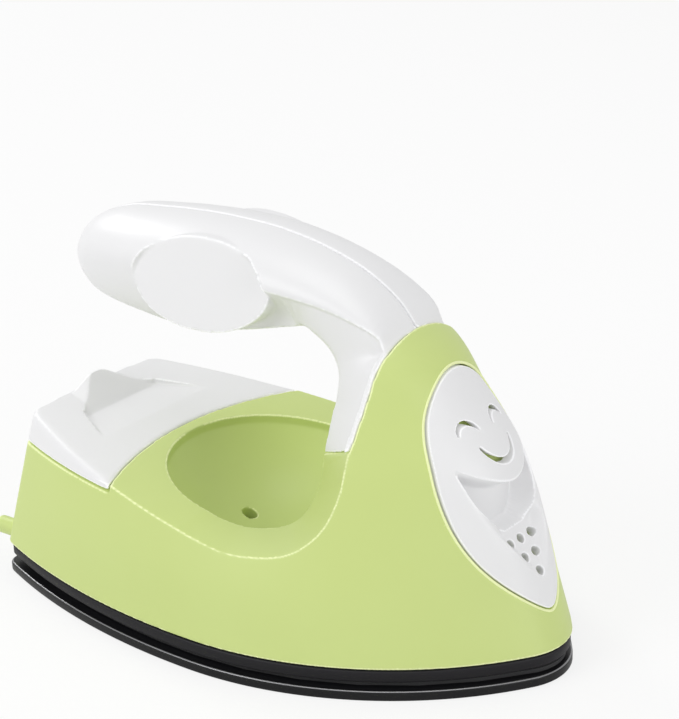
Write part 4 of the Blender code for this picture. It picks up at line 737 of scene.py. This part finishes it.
def hollowAt(y, z):  # depth of the hollow
    look, ease = noseLook, hollowEase
    below, edge = topEdge(y) - z, cubicAt(ridgeRows, z, 1)
    inward = edge - abs(y)
    if z < ridgeRows[0][0] or below < 0 or inward < 0:
        return 0.0
    surface = frontX(y, z)
    ramp = look["rampX"] - (z - look["rampZ"]) / look["rampSlope"]
    band = look["bandShare"] * (surface - frontX(edge, z)) + look["bandSlope"] * inward
    if z < look["rampTop"]:  # the ramp with the vents opens out of the band
        opened = easeStep((look["rampTop"] - z) / ease["ramp"]) * easeStep(inward / ease["rampSide"])
        band += (max(surface - ramp, band) - band) * opened
    depth = max(min(surface - ramp, band), 0.0)
    depth *= easeStep(below / ease["top"]) * easeStep(inward / ease["side"])
    if z > innerRows[0][0]:
        inner = cubicAt(innerRows, z, 1) - abs(y)
        floor = look["back"] - look["floorBow"] * y * y
        foot = (z - innerRows[0][0]) / ease["deepFoot"]
        deep = easeStep(min(inner / ease["deepSide"], below / ease["deepTop"], foot))
        depth = max(depth, max(surface - floor, 0.0) * deep)
    return depth


def hollowNear(y, z):  # the deepest close by, so that steep walls keep their thickness
    return max(hollowAt(y + a, z + b) for a, b in ((0, 0), (1, 0), (-1, 0), (0, 1), (0, -1)))


def crescent(middle, radius, ends, width, count=24, power=0.6):  # slot that tapers to both ends
    outer, inner = [], []
    for k, a in enumerate(steps(math.radians(ends[0]), math.radians(ends[1]), count)):
        half = width / 2 * max(math.sin(math.pi * k / count), 0.0) ** power + noseLook["slotEnd"]
        for side, reach in ((outer, radius + half), (inner, radius - half)):
            side.append((middle[0] + reach * math.cos(a), middle[1] + reach * math.sin(a)))
    return outer + inner[::-1]


def makeNoseCover():
    look = noseLook
    front, rear = [], []
    for share in (0.04, *steps(0.08, 0.96, 56), 0.975, 0.99, 1.0):
        oval = noseOval(-gap, 200, share)
        front.append([(frontX(y, z) - hollowAt(y, z), y, z) for y, z in oval])
        rear.append([(frontX(y, z) - hollowNear(y, z) - look["wall"], y, z) for y, z in oval])
    centre = (frontX(0.0, look["middle"]) - hollowAt(0.0, look["middle"]), 0.0, look["middle"])
    behind = (centre[0] - look["wall"], 0.0, look["middle"])
    cover = loftRings("noseCover", front + rear[::-1], first=centre, last=behind)
    eyes = [(side * look["eyeY"], look["eyeZ"]) for side in (-1, 1)]
    slots = [(eye, look["eyeRadius"], look["eyeTurns"], 1) for eye in eyes]
    slots.append(((0.0, look["smileZ"]), look["smileRadius"], look["smileTurns"], look["smileWide"]))
    for middle, radius, turns, wide in slots:
        slot = crescent(middle, radius, turns, wide * look["slot"])
        carve(cover, prism("slot", slot, "X", 26, halfLength + 2))
    normal = Vector((look["rampSlope"], 0, 1)).normalized()
    along = Vector((1, 0, -look["rampSlope"])).normalized()
    hole = [(look["ventBore"], -6), (look["ventBore"], 6)]
    for row, places in enumerate(((-1, 0, 1), (-0.5, 0.5), (0,))):
        for across in places:
            spot = Vector((look["rampX"], look["ventPitch"] * across, look["rampZ"]))
            carve(cover, turned("vent", hole, spot + along * look["ventPitch"] * row, normal, 24))
    mould(cover, look["voxel"], look["rounds"], hullLook["tris"])
    return settle(cover, "iron", "white_plastic", whiteAbs, "nose_cover")


handleLook = {
    "top": 64.9, "width": 24.6, "wall": 2.0, "keel": 0.55, "creaseFrom": -0.5, "creaseTo": -0.05,
    "roomFrom": -0.86, "roomTo": 0.092, "padX": -13.0, "padZ": 56.3, "padLong": 13.3, "padTall": 7.4,
    "padFace": 10.65, "padLean": 0.25, "padTwist": 0.06, "padClear": 8.0,
    "webHalf": 8.3, "webReach": 6.0, "webInset": 0.4,
    "collar": 1.1, "collarInset": 0.3, "collarGap": 0.08, "collarSoft": 1.4, "collarRounds": 12, "plug": 3.2,
    "footGap": 0.12, "cornerX": 11.0, "cornerZ": 48.5, "cornerSoft": 4.5, "cornerRounds": 200, "seam": 0.05,
    "screws": ((-31.0, 54.0), (2.5, 55.5)), "headY": 5.0, "headRadius": 1.9, "shank": 1.1, "tipY": -6.3,
    "postRadius": 2.8, "postEnd": 10.6, "tipEnd": -0.9, "voxel": 0.26, "rounds": 4,
}
# x as a share of half length, then top, bottom and edge height as shares of the top, and half width as a
# share of the width
handleRows = (
    (-0.934, 0.838, 0.806, 0.822, 0.045), (-0.925, 0.868, 0.786, 0.828, 0.112),
    (-0.900, 0.904, 0.765, 0.837, 0.195), (-0.860, 0.932, 0.744, 0.846, 0.272),
    (-0.820, 0.949, 0.731, 0.852, 0.335), (-0.780, 0.961, 0.721, 0.857, 0.383),
    (-0.694, 0.978, 0.710, 0.866, 0.440), (-0.580, 0.987, 0.699, 0.877, 0.474),
    (-0.484, 0.994, 0.692, 0.883, 0.488), (-0.304, 1.000, 0.713, 0.892, 0.500),
    (-0.140, 0.997, 0.745, 0.894, 0.488), (-0.010, 0.985, 0.771, 0.891, 0.460),
    (0.092, 0.969, 0.787, 0.884, 0.435), (0.228, 0.935, 0.793, 0.868, 0.402),
    (0.330, 0.893, 0.786, 0.845, 0.375), (0.400, 0.848, 0.774, 0.820, 0.345),
    (0.4104, 0.836, 0.770, 0.810, 0.338), (0.422, 0.826, 0.762, 0.795, 0.330),
    (0.4300, 0.8165, 0.750, 0.768, 0.335),
)
# Web that fills the corner under the grip: x, then the height of its underside
webRows = (
    (2.6, 51.55), (5.0, 51.25), (7.0, 50.85), (8.7, 50.3), (9.9, 49.4), (10.8, 48.5), (11.4, 47.6),
    (11.85, 46.4), (12.4, 45.0), (20.6, 45.0),
)
# Height as a share of the hull's, then half width of the pillar's back as a share of the dish's radius
pillarRows = (
    (0.560, 0.538), (0.615, 0.538), (0.685, 0.505), (0.787, 0.451), (0.878, 0.436), (0.925, 0.430),
    (0.974, 0.415),
)


def gripRing(share, inset):
    look = handleLook
    top, low, edge = (look["top"] * cubicAt(handleRows, share, k) for k in (1, 2, 3))
    half = look["width"] * cubicAt(handleRows, share, 4)
    top, low, half = top - inset, low + inset, max(half - inset, 0.02 * half)
    points = [(half * math.cos(a), edge + (top - edge) * math.sin(a)) for a in steps(math.pi / 2, 0, 20)]
    keel, drop = half * look["keel"], low - edge
    creased = [(half + (keel - half) * (1 - (1 - t) ** 2), edge + drop * t) for t in steps(0, 1, 12)[1:]]
    creased += [(keel * (1 - t), low) for t in steps(0, 1, 4)[1:]]
    rounded = [(half * math.cos(a), edge + drop * math.sin(a)) for a in steps(0, math.pi / 2, 16)[1:]]
    mix = easeStep((share - look["creaseFrom"]) / (look["creaseTo"] - look["creaseFrom"]))
    points += [(r[0] + (c[0] - r[0]) * mix, r[1] + (c[1] - r[1]) * mix) for r, c in zip(rounded, creased)]
    ring = points + [(-y, z) for y, z in reversed(points[1:-1])]
    return [(halfLength * share, y, z) for y, z in ring]


def grip(name, inset, first=handleRows[0][0], last=handleRows[-1][0]):
    tip = handleLook["tipEnd"]
    shares = steps(first, tip, 12) + steps(tip, last, 60)[1:] if first < tip else steps(first, last, 60)
    return loftRings(name, [gripRing(share, inset) for share in shares])


def pillarRing(z):  # back on the dish's cylinder, flanks out to the rim, plug inside the tower
    look, hull, radius = handleLook, hullLook, hullLook["dishRadius"]
    half = radius * cubicAt(pillarRows, z / hull["height"], 1)
    turns = steps(0, math.asin(half / radius), 14)
    points = [(hull["dishX"] + radius * math.cos(a), radius * math.sin(a)) for a in turns]
    wall, sizes = hull["wall"] + gap, hullSizes(z)
    rim = rimAt(z)
    start = rim - gap
    end = max(min(rim + look["plug"], sizes[0] - wall - look["wall"]), start + gap / 2)
    flank = max(halfWidthAt(start, sizes, look["collarInset"] + 0.9), half / 8)
    points += [(start - look["collar"] / 2, flank), (start - 0.01, flank)]
    points += [(x, max(halfWidthAt(x, sizes, wall), half / 8)) for x in steps(start, end, 8)]
    points.append((end, 0.0))
    return layer(points + [(x, -y) for x, y in reversed(points[1:-1])], z)


def webRing(x, low):
    look = handleLook
    edge = look["top"] * cubicAt(handleRows, x / halfLength, 3)
    half = look["width"] * cubicAt(handleRows, x / halfLength, 4)
    keel = half * look["keel"]
    wide = keel + (look["webHalf"] - keel) * easeStep((x - webRows[0][0]) / look["webReach"])
    half -= look["webInset"]
    return [(x, -half, edge), (x, -wide, low), (x, wide, low), (x, half, edge)]


def collarRing(z):
    look = handleLook
    end = rimAt(z) - look["collarGap"]
    start, half = end - look["collar"], halfWidthAt(end, hullSizes(z), look["collarInset"])
    return [(start, -half, z), (end, -half, z), (end, half, z), (start, half, z)]


def padPlane(x, z, out=0.0):  # half width at the pad's flat face
    look = handleLook
    lean = look["padLean"] * (z - look["padZ"])
    return look["padFace"] - lean - look["padTwist"] * (x - look["padX"]) + out


def padBlock(name, *faces):  # a face is its side and how far out of the pad it lies
    look, rings = handleLook, []
    for way, out in faces:
        ring = []
        for a in steps(0, 2 * math.pi, 96)[:-1]:
            x, z = look["padX"] + look["padLong"] * math.cos(a), look["padZ"] + look["padTall"] * math.sin(a)
            ring.append((x, way * padPlane(x, z, out), z))
        rings.append(ring)
    return loftRings(name, rings)


def makeHandle(side):
    look, hull = handleLook, hullLook
    half = grip("handleLeft" if side > 0 else "handleRight", 0.0)
    foot = hull["pedestalBack"] - 2
    pillar = loftRings("pillar", [pillarRing(z) for z in steps(foot, hull["height"] - hull["wall"], 60)])
    collar = loftRings("collar", [collarRing(z) for z in steps(foot, hull["height"] - 0.25, 60)])
    carve(pillar, collar, "UNION")
    low, high = hull["pedestalBack"] + look["footGap"], hull["pedestalFront"] + look["footGap"]
    back = hull["dishX"] + hull["dishRadius"] * math.cos(math.asin(pillarRows[0][1]))
    tilt = (high - low) / (hull["rimX"] - back)
    start, end = back - 8, hull["rimX"] + 8
    under = [(start, low - 8 * tilt), (end, high + 8 * tilt), (end, 20.0), (start, 20.0)]
    carve(pillar, prism("under", under, "Y", -halfWide, halfWide))
    carve(pillar, openAir("foot", -look["footGap"], hull["rimX"] + look["plug"] + 4), "INTERSECT")
    carve(half, pillar, "UNION")
    carve(half, loftRings("web", [webRing(x, low) for x, low in webRows]), "UNION")
    carve(half, padBlock("pad", (-1, 0.0), (1, 0.0)), "UNION")
    for way in (-1, 1):
        carve(half, padBlock("pad cut", (way, 0.0), (way, look["padClear"])))
    room = grip("room", look["wall"], look["roomFrom"], look["roomTo"])
    wedge = []
    for x in (-halfLength, halfLength):
        corners = ((-1, 40.0), (1, 40.0), (1, look["top"]), (-1, look["top"]))
        wedge.append([(x, way * padPlane(x, z, -look["wall"]), z) for way, z in corners])
    carve(half, carve(room, loftRings("wedge", wedge), "INTERSECT"))
    shank, head = look["shank"], look["headRadius"]
    for x, z in look["screws"]:
        post = [(look["postRadius"], -look["postEnd"]), (look["postRadius"], look["postEnd"])]
        post = carve(turned("post", post, (x, 0, z), (0, 1, 0)), grip("trim", look["wall"] / 2), "INTERSECT")
        carve(half, post, "UNION")
        hole = [(shank, look["tipY"]), (shank, look["headY"]), (head, look["headY"]), (head, 24.0)]
        carve(half, turned("hole", hole, (x, 0, z), (0, 1, 0)))
    low, high = sorted((side * look["seam"], side * look["width"]))
    carve(half, block("keep", (-100, low, 0), (100, high, 130)), "INTERSECT")
    mould(half, look["voxel"], look["rounds"])

    def collarBack(p):  # fillet where the flanks run out to the rim
        near = 1 - abs(p.x - rimAt(p.z) + gap + look["collar"] + 0.5) / look["collarSoft"]
        return near if p.z > hull["pedestalFront"] - 3 and abs(p.y) > 0.5 else 0.0

    def underside(p):  # fillet between the grip's underside and the pillar
        crease = look["top"] * cubicAt(handleRows, p.x / halfLength, 3)
        clear = min((crease - 1.0 - p.z) / 1.5, (hull["rimX"] - 1.5 - p.x) / 1.5, 1.0)
        return min(2.0 - math.hypot(p.x - look["cornerX"], p.z - look["cornerZ"]) / look["cornerSoft"], clear)

    soften(half, collarBack, look["collarRounds"])
    soften(half, underside, look["cornerRounds"])
    return settle(half, "iron", "white_plastic", whiteAbs, "handle_left" if side > 0 else "handle_right")


baseLook = {
    "soleFlat": 5.0, "ringInset": 6.4, "skirtInset": 0.35, "skirtChamfer": 0.35, "skirtBottom": 2.95,
    "skirtTop": 5.0, "skirtRound": 0.25, "sharpFrom": 40,
}


def makeBase():
    look = baseLook
    edge, thick, flat = iron["soleEdge"], iron["soleThickness"], look["soleFlat"]
    turns = steps(0, math.pi / 2, 5)
    levels = [(flat, 0.0)]
    levels += [(edge * (1 - math.sin(a)), edge * (1 - math.cos(a))) for a in turns]
    levels += [(edge * (1 - math.cos(a)), thick - edge * (1 - math.sin(a))) for a in turns]
    levels.append((flat, thick))
    sole = loftRings("sole", [layer(teardrop(soleSizes, inset), z) for inset, z in levels])
    settle(sole, "iron", "sole_coating", soleFilm, "soleplate", angle=look["sharpFrom"])

    low, high = look["skirtBottom"], look["skirtTop"]
    chamfer, inset = look["skirtChamfer"], look["skirtInset"]
    profile = [(inset + chamfer + 0.15, low), (inset + chamfer, low + 0.05)]
    profile += [(inset + 0.12, low + chamfer - 0.1), (inset, low + chamfer + 0.1)]
    rounding = look["skirtRound"]
    profile += [(inset, high - rounding), (inset + 0.08, high - 0.08), (inset + rounding, high)]
    profile += [(look["ringInset"], high), (look["ringInset"], low)]
    points, faces = [], []
    count = len(teardrop(soleSizes))
    for width, z in profile:
        points += layer(teardrop(soleSizes, width), z)
    for k in range(len(profile)):
        here, there = k * count, (k + 1) % len(profile) * count
        for j in range(count):
            after = (j + 1) % count
            faces.append((here + j, here + after, there + after, there + j))
    skirt = newPiece("skirt", points, faces)
    return settle(skirt, "iron", "black_plastic", blackNylon, "skirt_ring", angle=look["sharpFrom"])


makeBase()
print("base made")
makeHull()
print("hull made")
makeRearCover()
makeNoseCover()
print("covers made")
for side in (-1, 1):
    makeHandle(side)
print("handle made")

# Carried-over nodes get the finish of what they are
nodePaints = {
    "insulating_gasket": blackRubber, "cord_gland": blackRubber,
    "lower_mica_sheet": micaSheet, "upper_mica_sheet": micaSheet,
    "heating_element": resistanceWire, "heater_clamp_plate": platedSteel, "fuse_clip": platedSteel,
    "terminal_block": steatite, "transfer_pin": steatite, "terminal_tab_left": brassSheet,
    "terminal_tab_right": brassSheet, "contact_blade": brassSheet, "contact_post_hinge": brassSheet,
    "contact_post_fixed": brassSheet, "thermal_fuse": drawnAluminium, "thermostat_cup": drawnAluminium,
    "bimetal_disc": platedSteel, "thermostat_base": blackPhenolic,
    "lead_to_fuse": glassSleeve, "lead_to_thermostat": glassSleeve,
}
for nodeName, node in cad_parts.items():
    node.data.materials.clear()
    node.data.materials.append(nodePaints.get(nodeName, platedSteel))
print("finishes on the carried-over nodes")

# Floor, light and camera
stageLook = {
    "floorSize": 6.0, "floor": "F4F4F4", "floorShade": "F2F2F2", "lift": 0.75, "worldStrength": 0.51,
}
floorPaint, floorTree, floorShader, floorCoords = newMaterial("white paper sweep, matt")
fibres = addNode(floorTree, "TexNoise", [("Vector", floorCoords, "Object")], Scale=300.0)
tone = addNode(floorTree, "Mix", [("Factor", fibres, "Fac")], data_type="RGBA")
tone.inputs["A"].default_value = hexColour(stageLook["floorShade"])
tone.inputs["B"].default_value = hexColour(stageLook["floor"])
floorTree.links.new(tone.outputs["Result"], floorShader.inputs["Base Color"])
floorShader.inputs["Roughness"].default_value = 0.9
floorShader.inputs["Specular IOR Level"].default_value = 0.1
seen = addNode(floorTree, "LightPath")
glow = addNode(floorTree, "Emission", Strength=1.0)
white = addNode(floorTree, "MixShader", [(0, seen, "Is Camera Ray"), (1, floorShader, "BSDF")])
lift = addNode(floorTree, "MixShader", [(1, floorShader, "BSDF"), (2, glow, "Emission")])
lift.inputs[0].default_value = stageLook["lift"]
floorTree.links.new(lift.outputs[0], white.inputs[2])
floorTree.links.new(white.outputs[0], floorTree.nodes["Material Output"].inputs["Surface"])
size = stageLook["floorSize"] / 2
corners = [(-size, -size, 0), (size, -size, 0), (size, size, 0), (-size, size, 0)]
floor = newPiece("floor", corners, [(0, 1, 2, 3)])
floor.data.materials.append(floorPaint)

world = bpy.data.worlds.new("white studio")
bpy.context.scene.world = world
world.use_nodes = True
worldTree = world.node_tree
ambient = worldTree.nodes["Background"]
ambient.inputs["Color"].default_value = (1, 1, 1, 1)
ambient.inputs["Strength"].default_value = stageLook["worldStrength"]
paper = addNode(worldTree, "Background", Strength=1.0)
paths = addNode(worldTree, "LightPath")
seen = [(0, paths, "Is Camera Ray"), (1, paths, "Is Glossy Ray")]
direct = addNode(worldTree, "Math", seen, operation="MAXIMUM")
shades = [(0, direct, 0), (1, ambient, "Background"), (2, paper, "Background")]
choose = addNode(worldTree, "MixShader", shades)
worldTree.links.new(choose.outputs[0], worldTree.nodes["World Output"].inputs["Surface"])

# Place and size in metres, power in watts, and whether the lamp casts a shadow
lampLook = {
    "front softbox": ((-0.45, -1.05, 0.66), 0.9, 5.8, True),
    "top fill": ((0.0, 0.0, 0.95), 0.6, 2.1, False),
    "nose softbox": ((0.90, -0.08, 0.28), 0.6, 2.0, True),
    "back window": ((-1.00, 0.30, 0.72), 0.30, 2.6, True),
}
lampAim = Vector((0.0, 0.0, 0.03))
for lampName, (place, across, power, shadow) in lampLook.items():
    lamp = bpy.data.lights.new(lampName, "AREA")
    lamp.shape, lamp.size, lamp.energy, lamp.use_shadow = "DISK", across, power, shadow
    holder = bpy.data.objects.new(lampName, lamp)
    bpy.context.scene.collection.objects.link(holder)
    holder.location = place
    holder.visible_camera = False
    holder.rotation_euler = (lampAim - Vector(place)).to_track_quat("-Z", "Y").to_euler()

# Camera solved from the photograph, in millimetres and degrees
lens = {
    "azimuth": 36.63, "elevation": 20.92, "roll": -1.15, "focal": 2192.0, "distance": 360.5, "truck": 5.8,
    "pedestal": 12.0, "centreX": 344.0, "centreY": 359.0, "aimZ": 30.0, "sensor": 36.0,
}
azimuth, elevation, roll = (math.radians(lens[k]) for k in ("azimuth", "elevation", "roll"))
level = math.cos(elevation)
look = Vector((-math.sin(azimuth) * level, math.cos(azimuth) * level, -math.sin(elevation)))
right = Vector((math.cos(azimuth), math.sin(azimuth), 0))
up = right.cross(look)
rolledRight = right * math.cos(roll) + up * math.sin(roll)
rolledUp = up * math.cos(roll) - right * math.sin(roll)
cameraData = bpy.data.cameras.new("camera")
camera = bpy.data.objects.new("camera", cameraData)
bpy.context.scene.collection.objects.link(camera)
axes = Matrix((rolledRight, rolledUp, -look)).transposed().to_4x4()
spot = Vector((0, 0, lens["aimZ"])) - lens["distance"] * look
spot += lens["truck"] * rolledRight + lens["pedestal"] * rolledUp
spot.x += iron["shiftX"]
camera.matrix_world = Matrix.Translation(spot * mm) @ axes
cameraData.sensor_width = lens["sensor"]
cameraData.lens = lens["focal"] * lens["sensor"] / max(imageSize)
cameraData.shift_x = (imageSize[0] / 2 - lens["centreX"]) / max(imageSize)
cameraData.shift_y = (lens["centreY"] - imageSize[1] / 2) / max(imageSize)
cameraData.clip_start, cameraData.clip_end = 0.01, 20.0
bpy.context.scene.camera = camera
bpy.context.scene.view_settings.view_transform = "Standard"
print("floor, lamps and camera set")
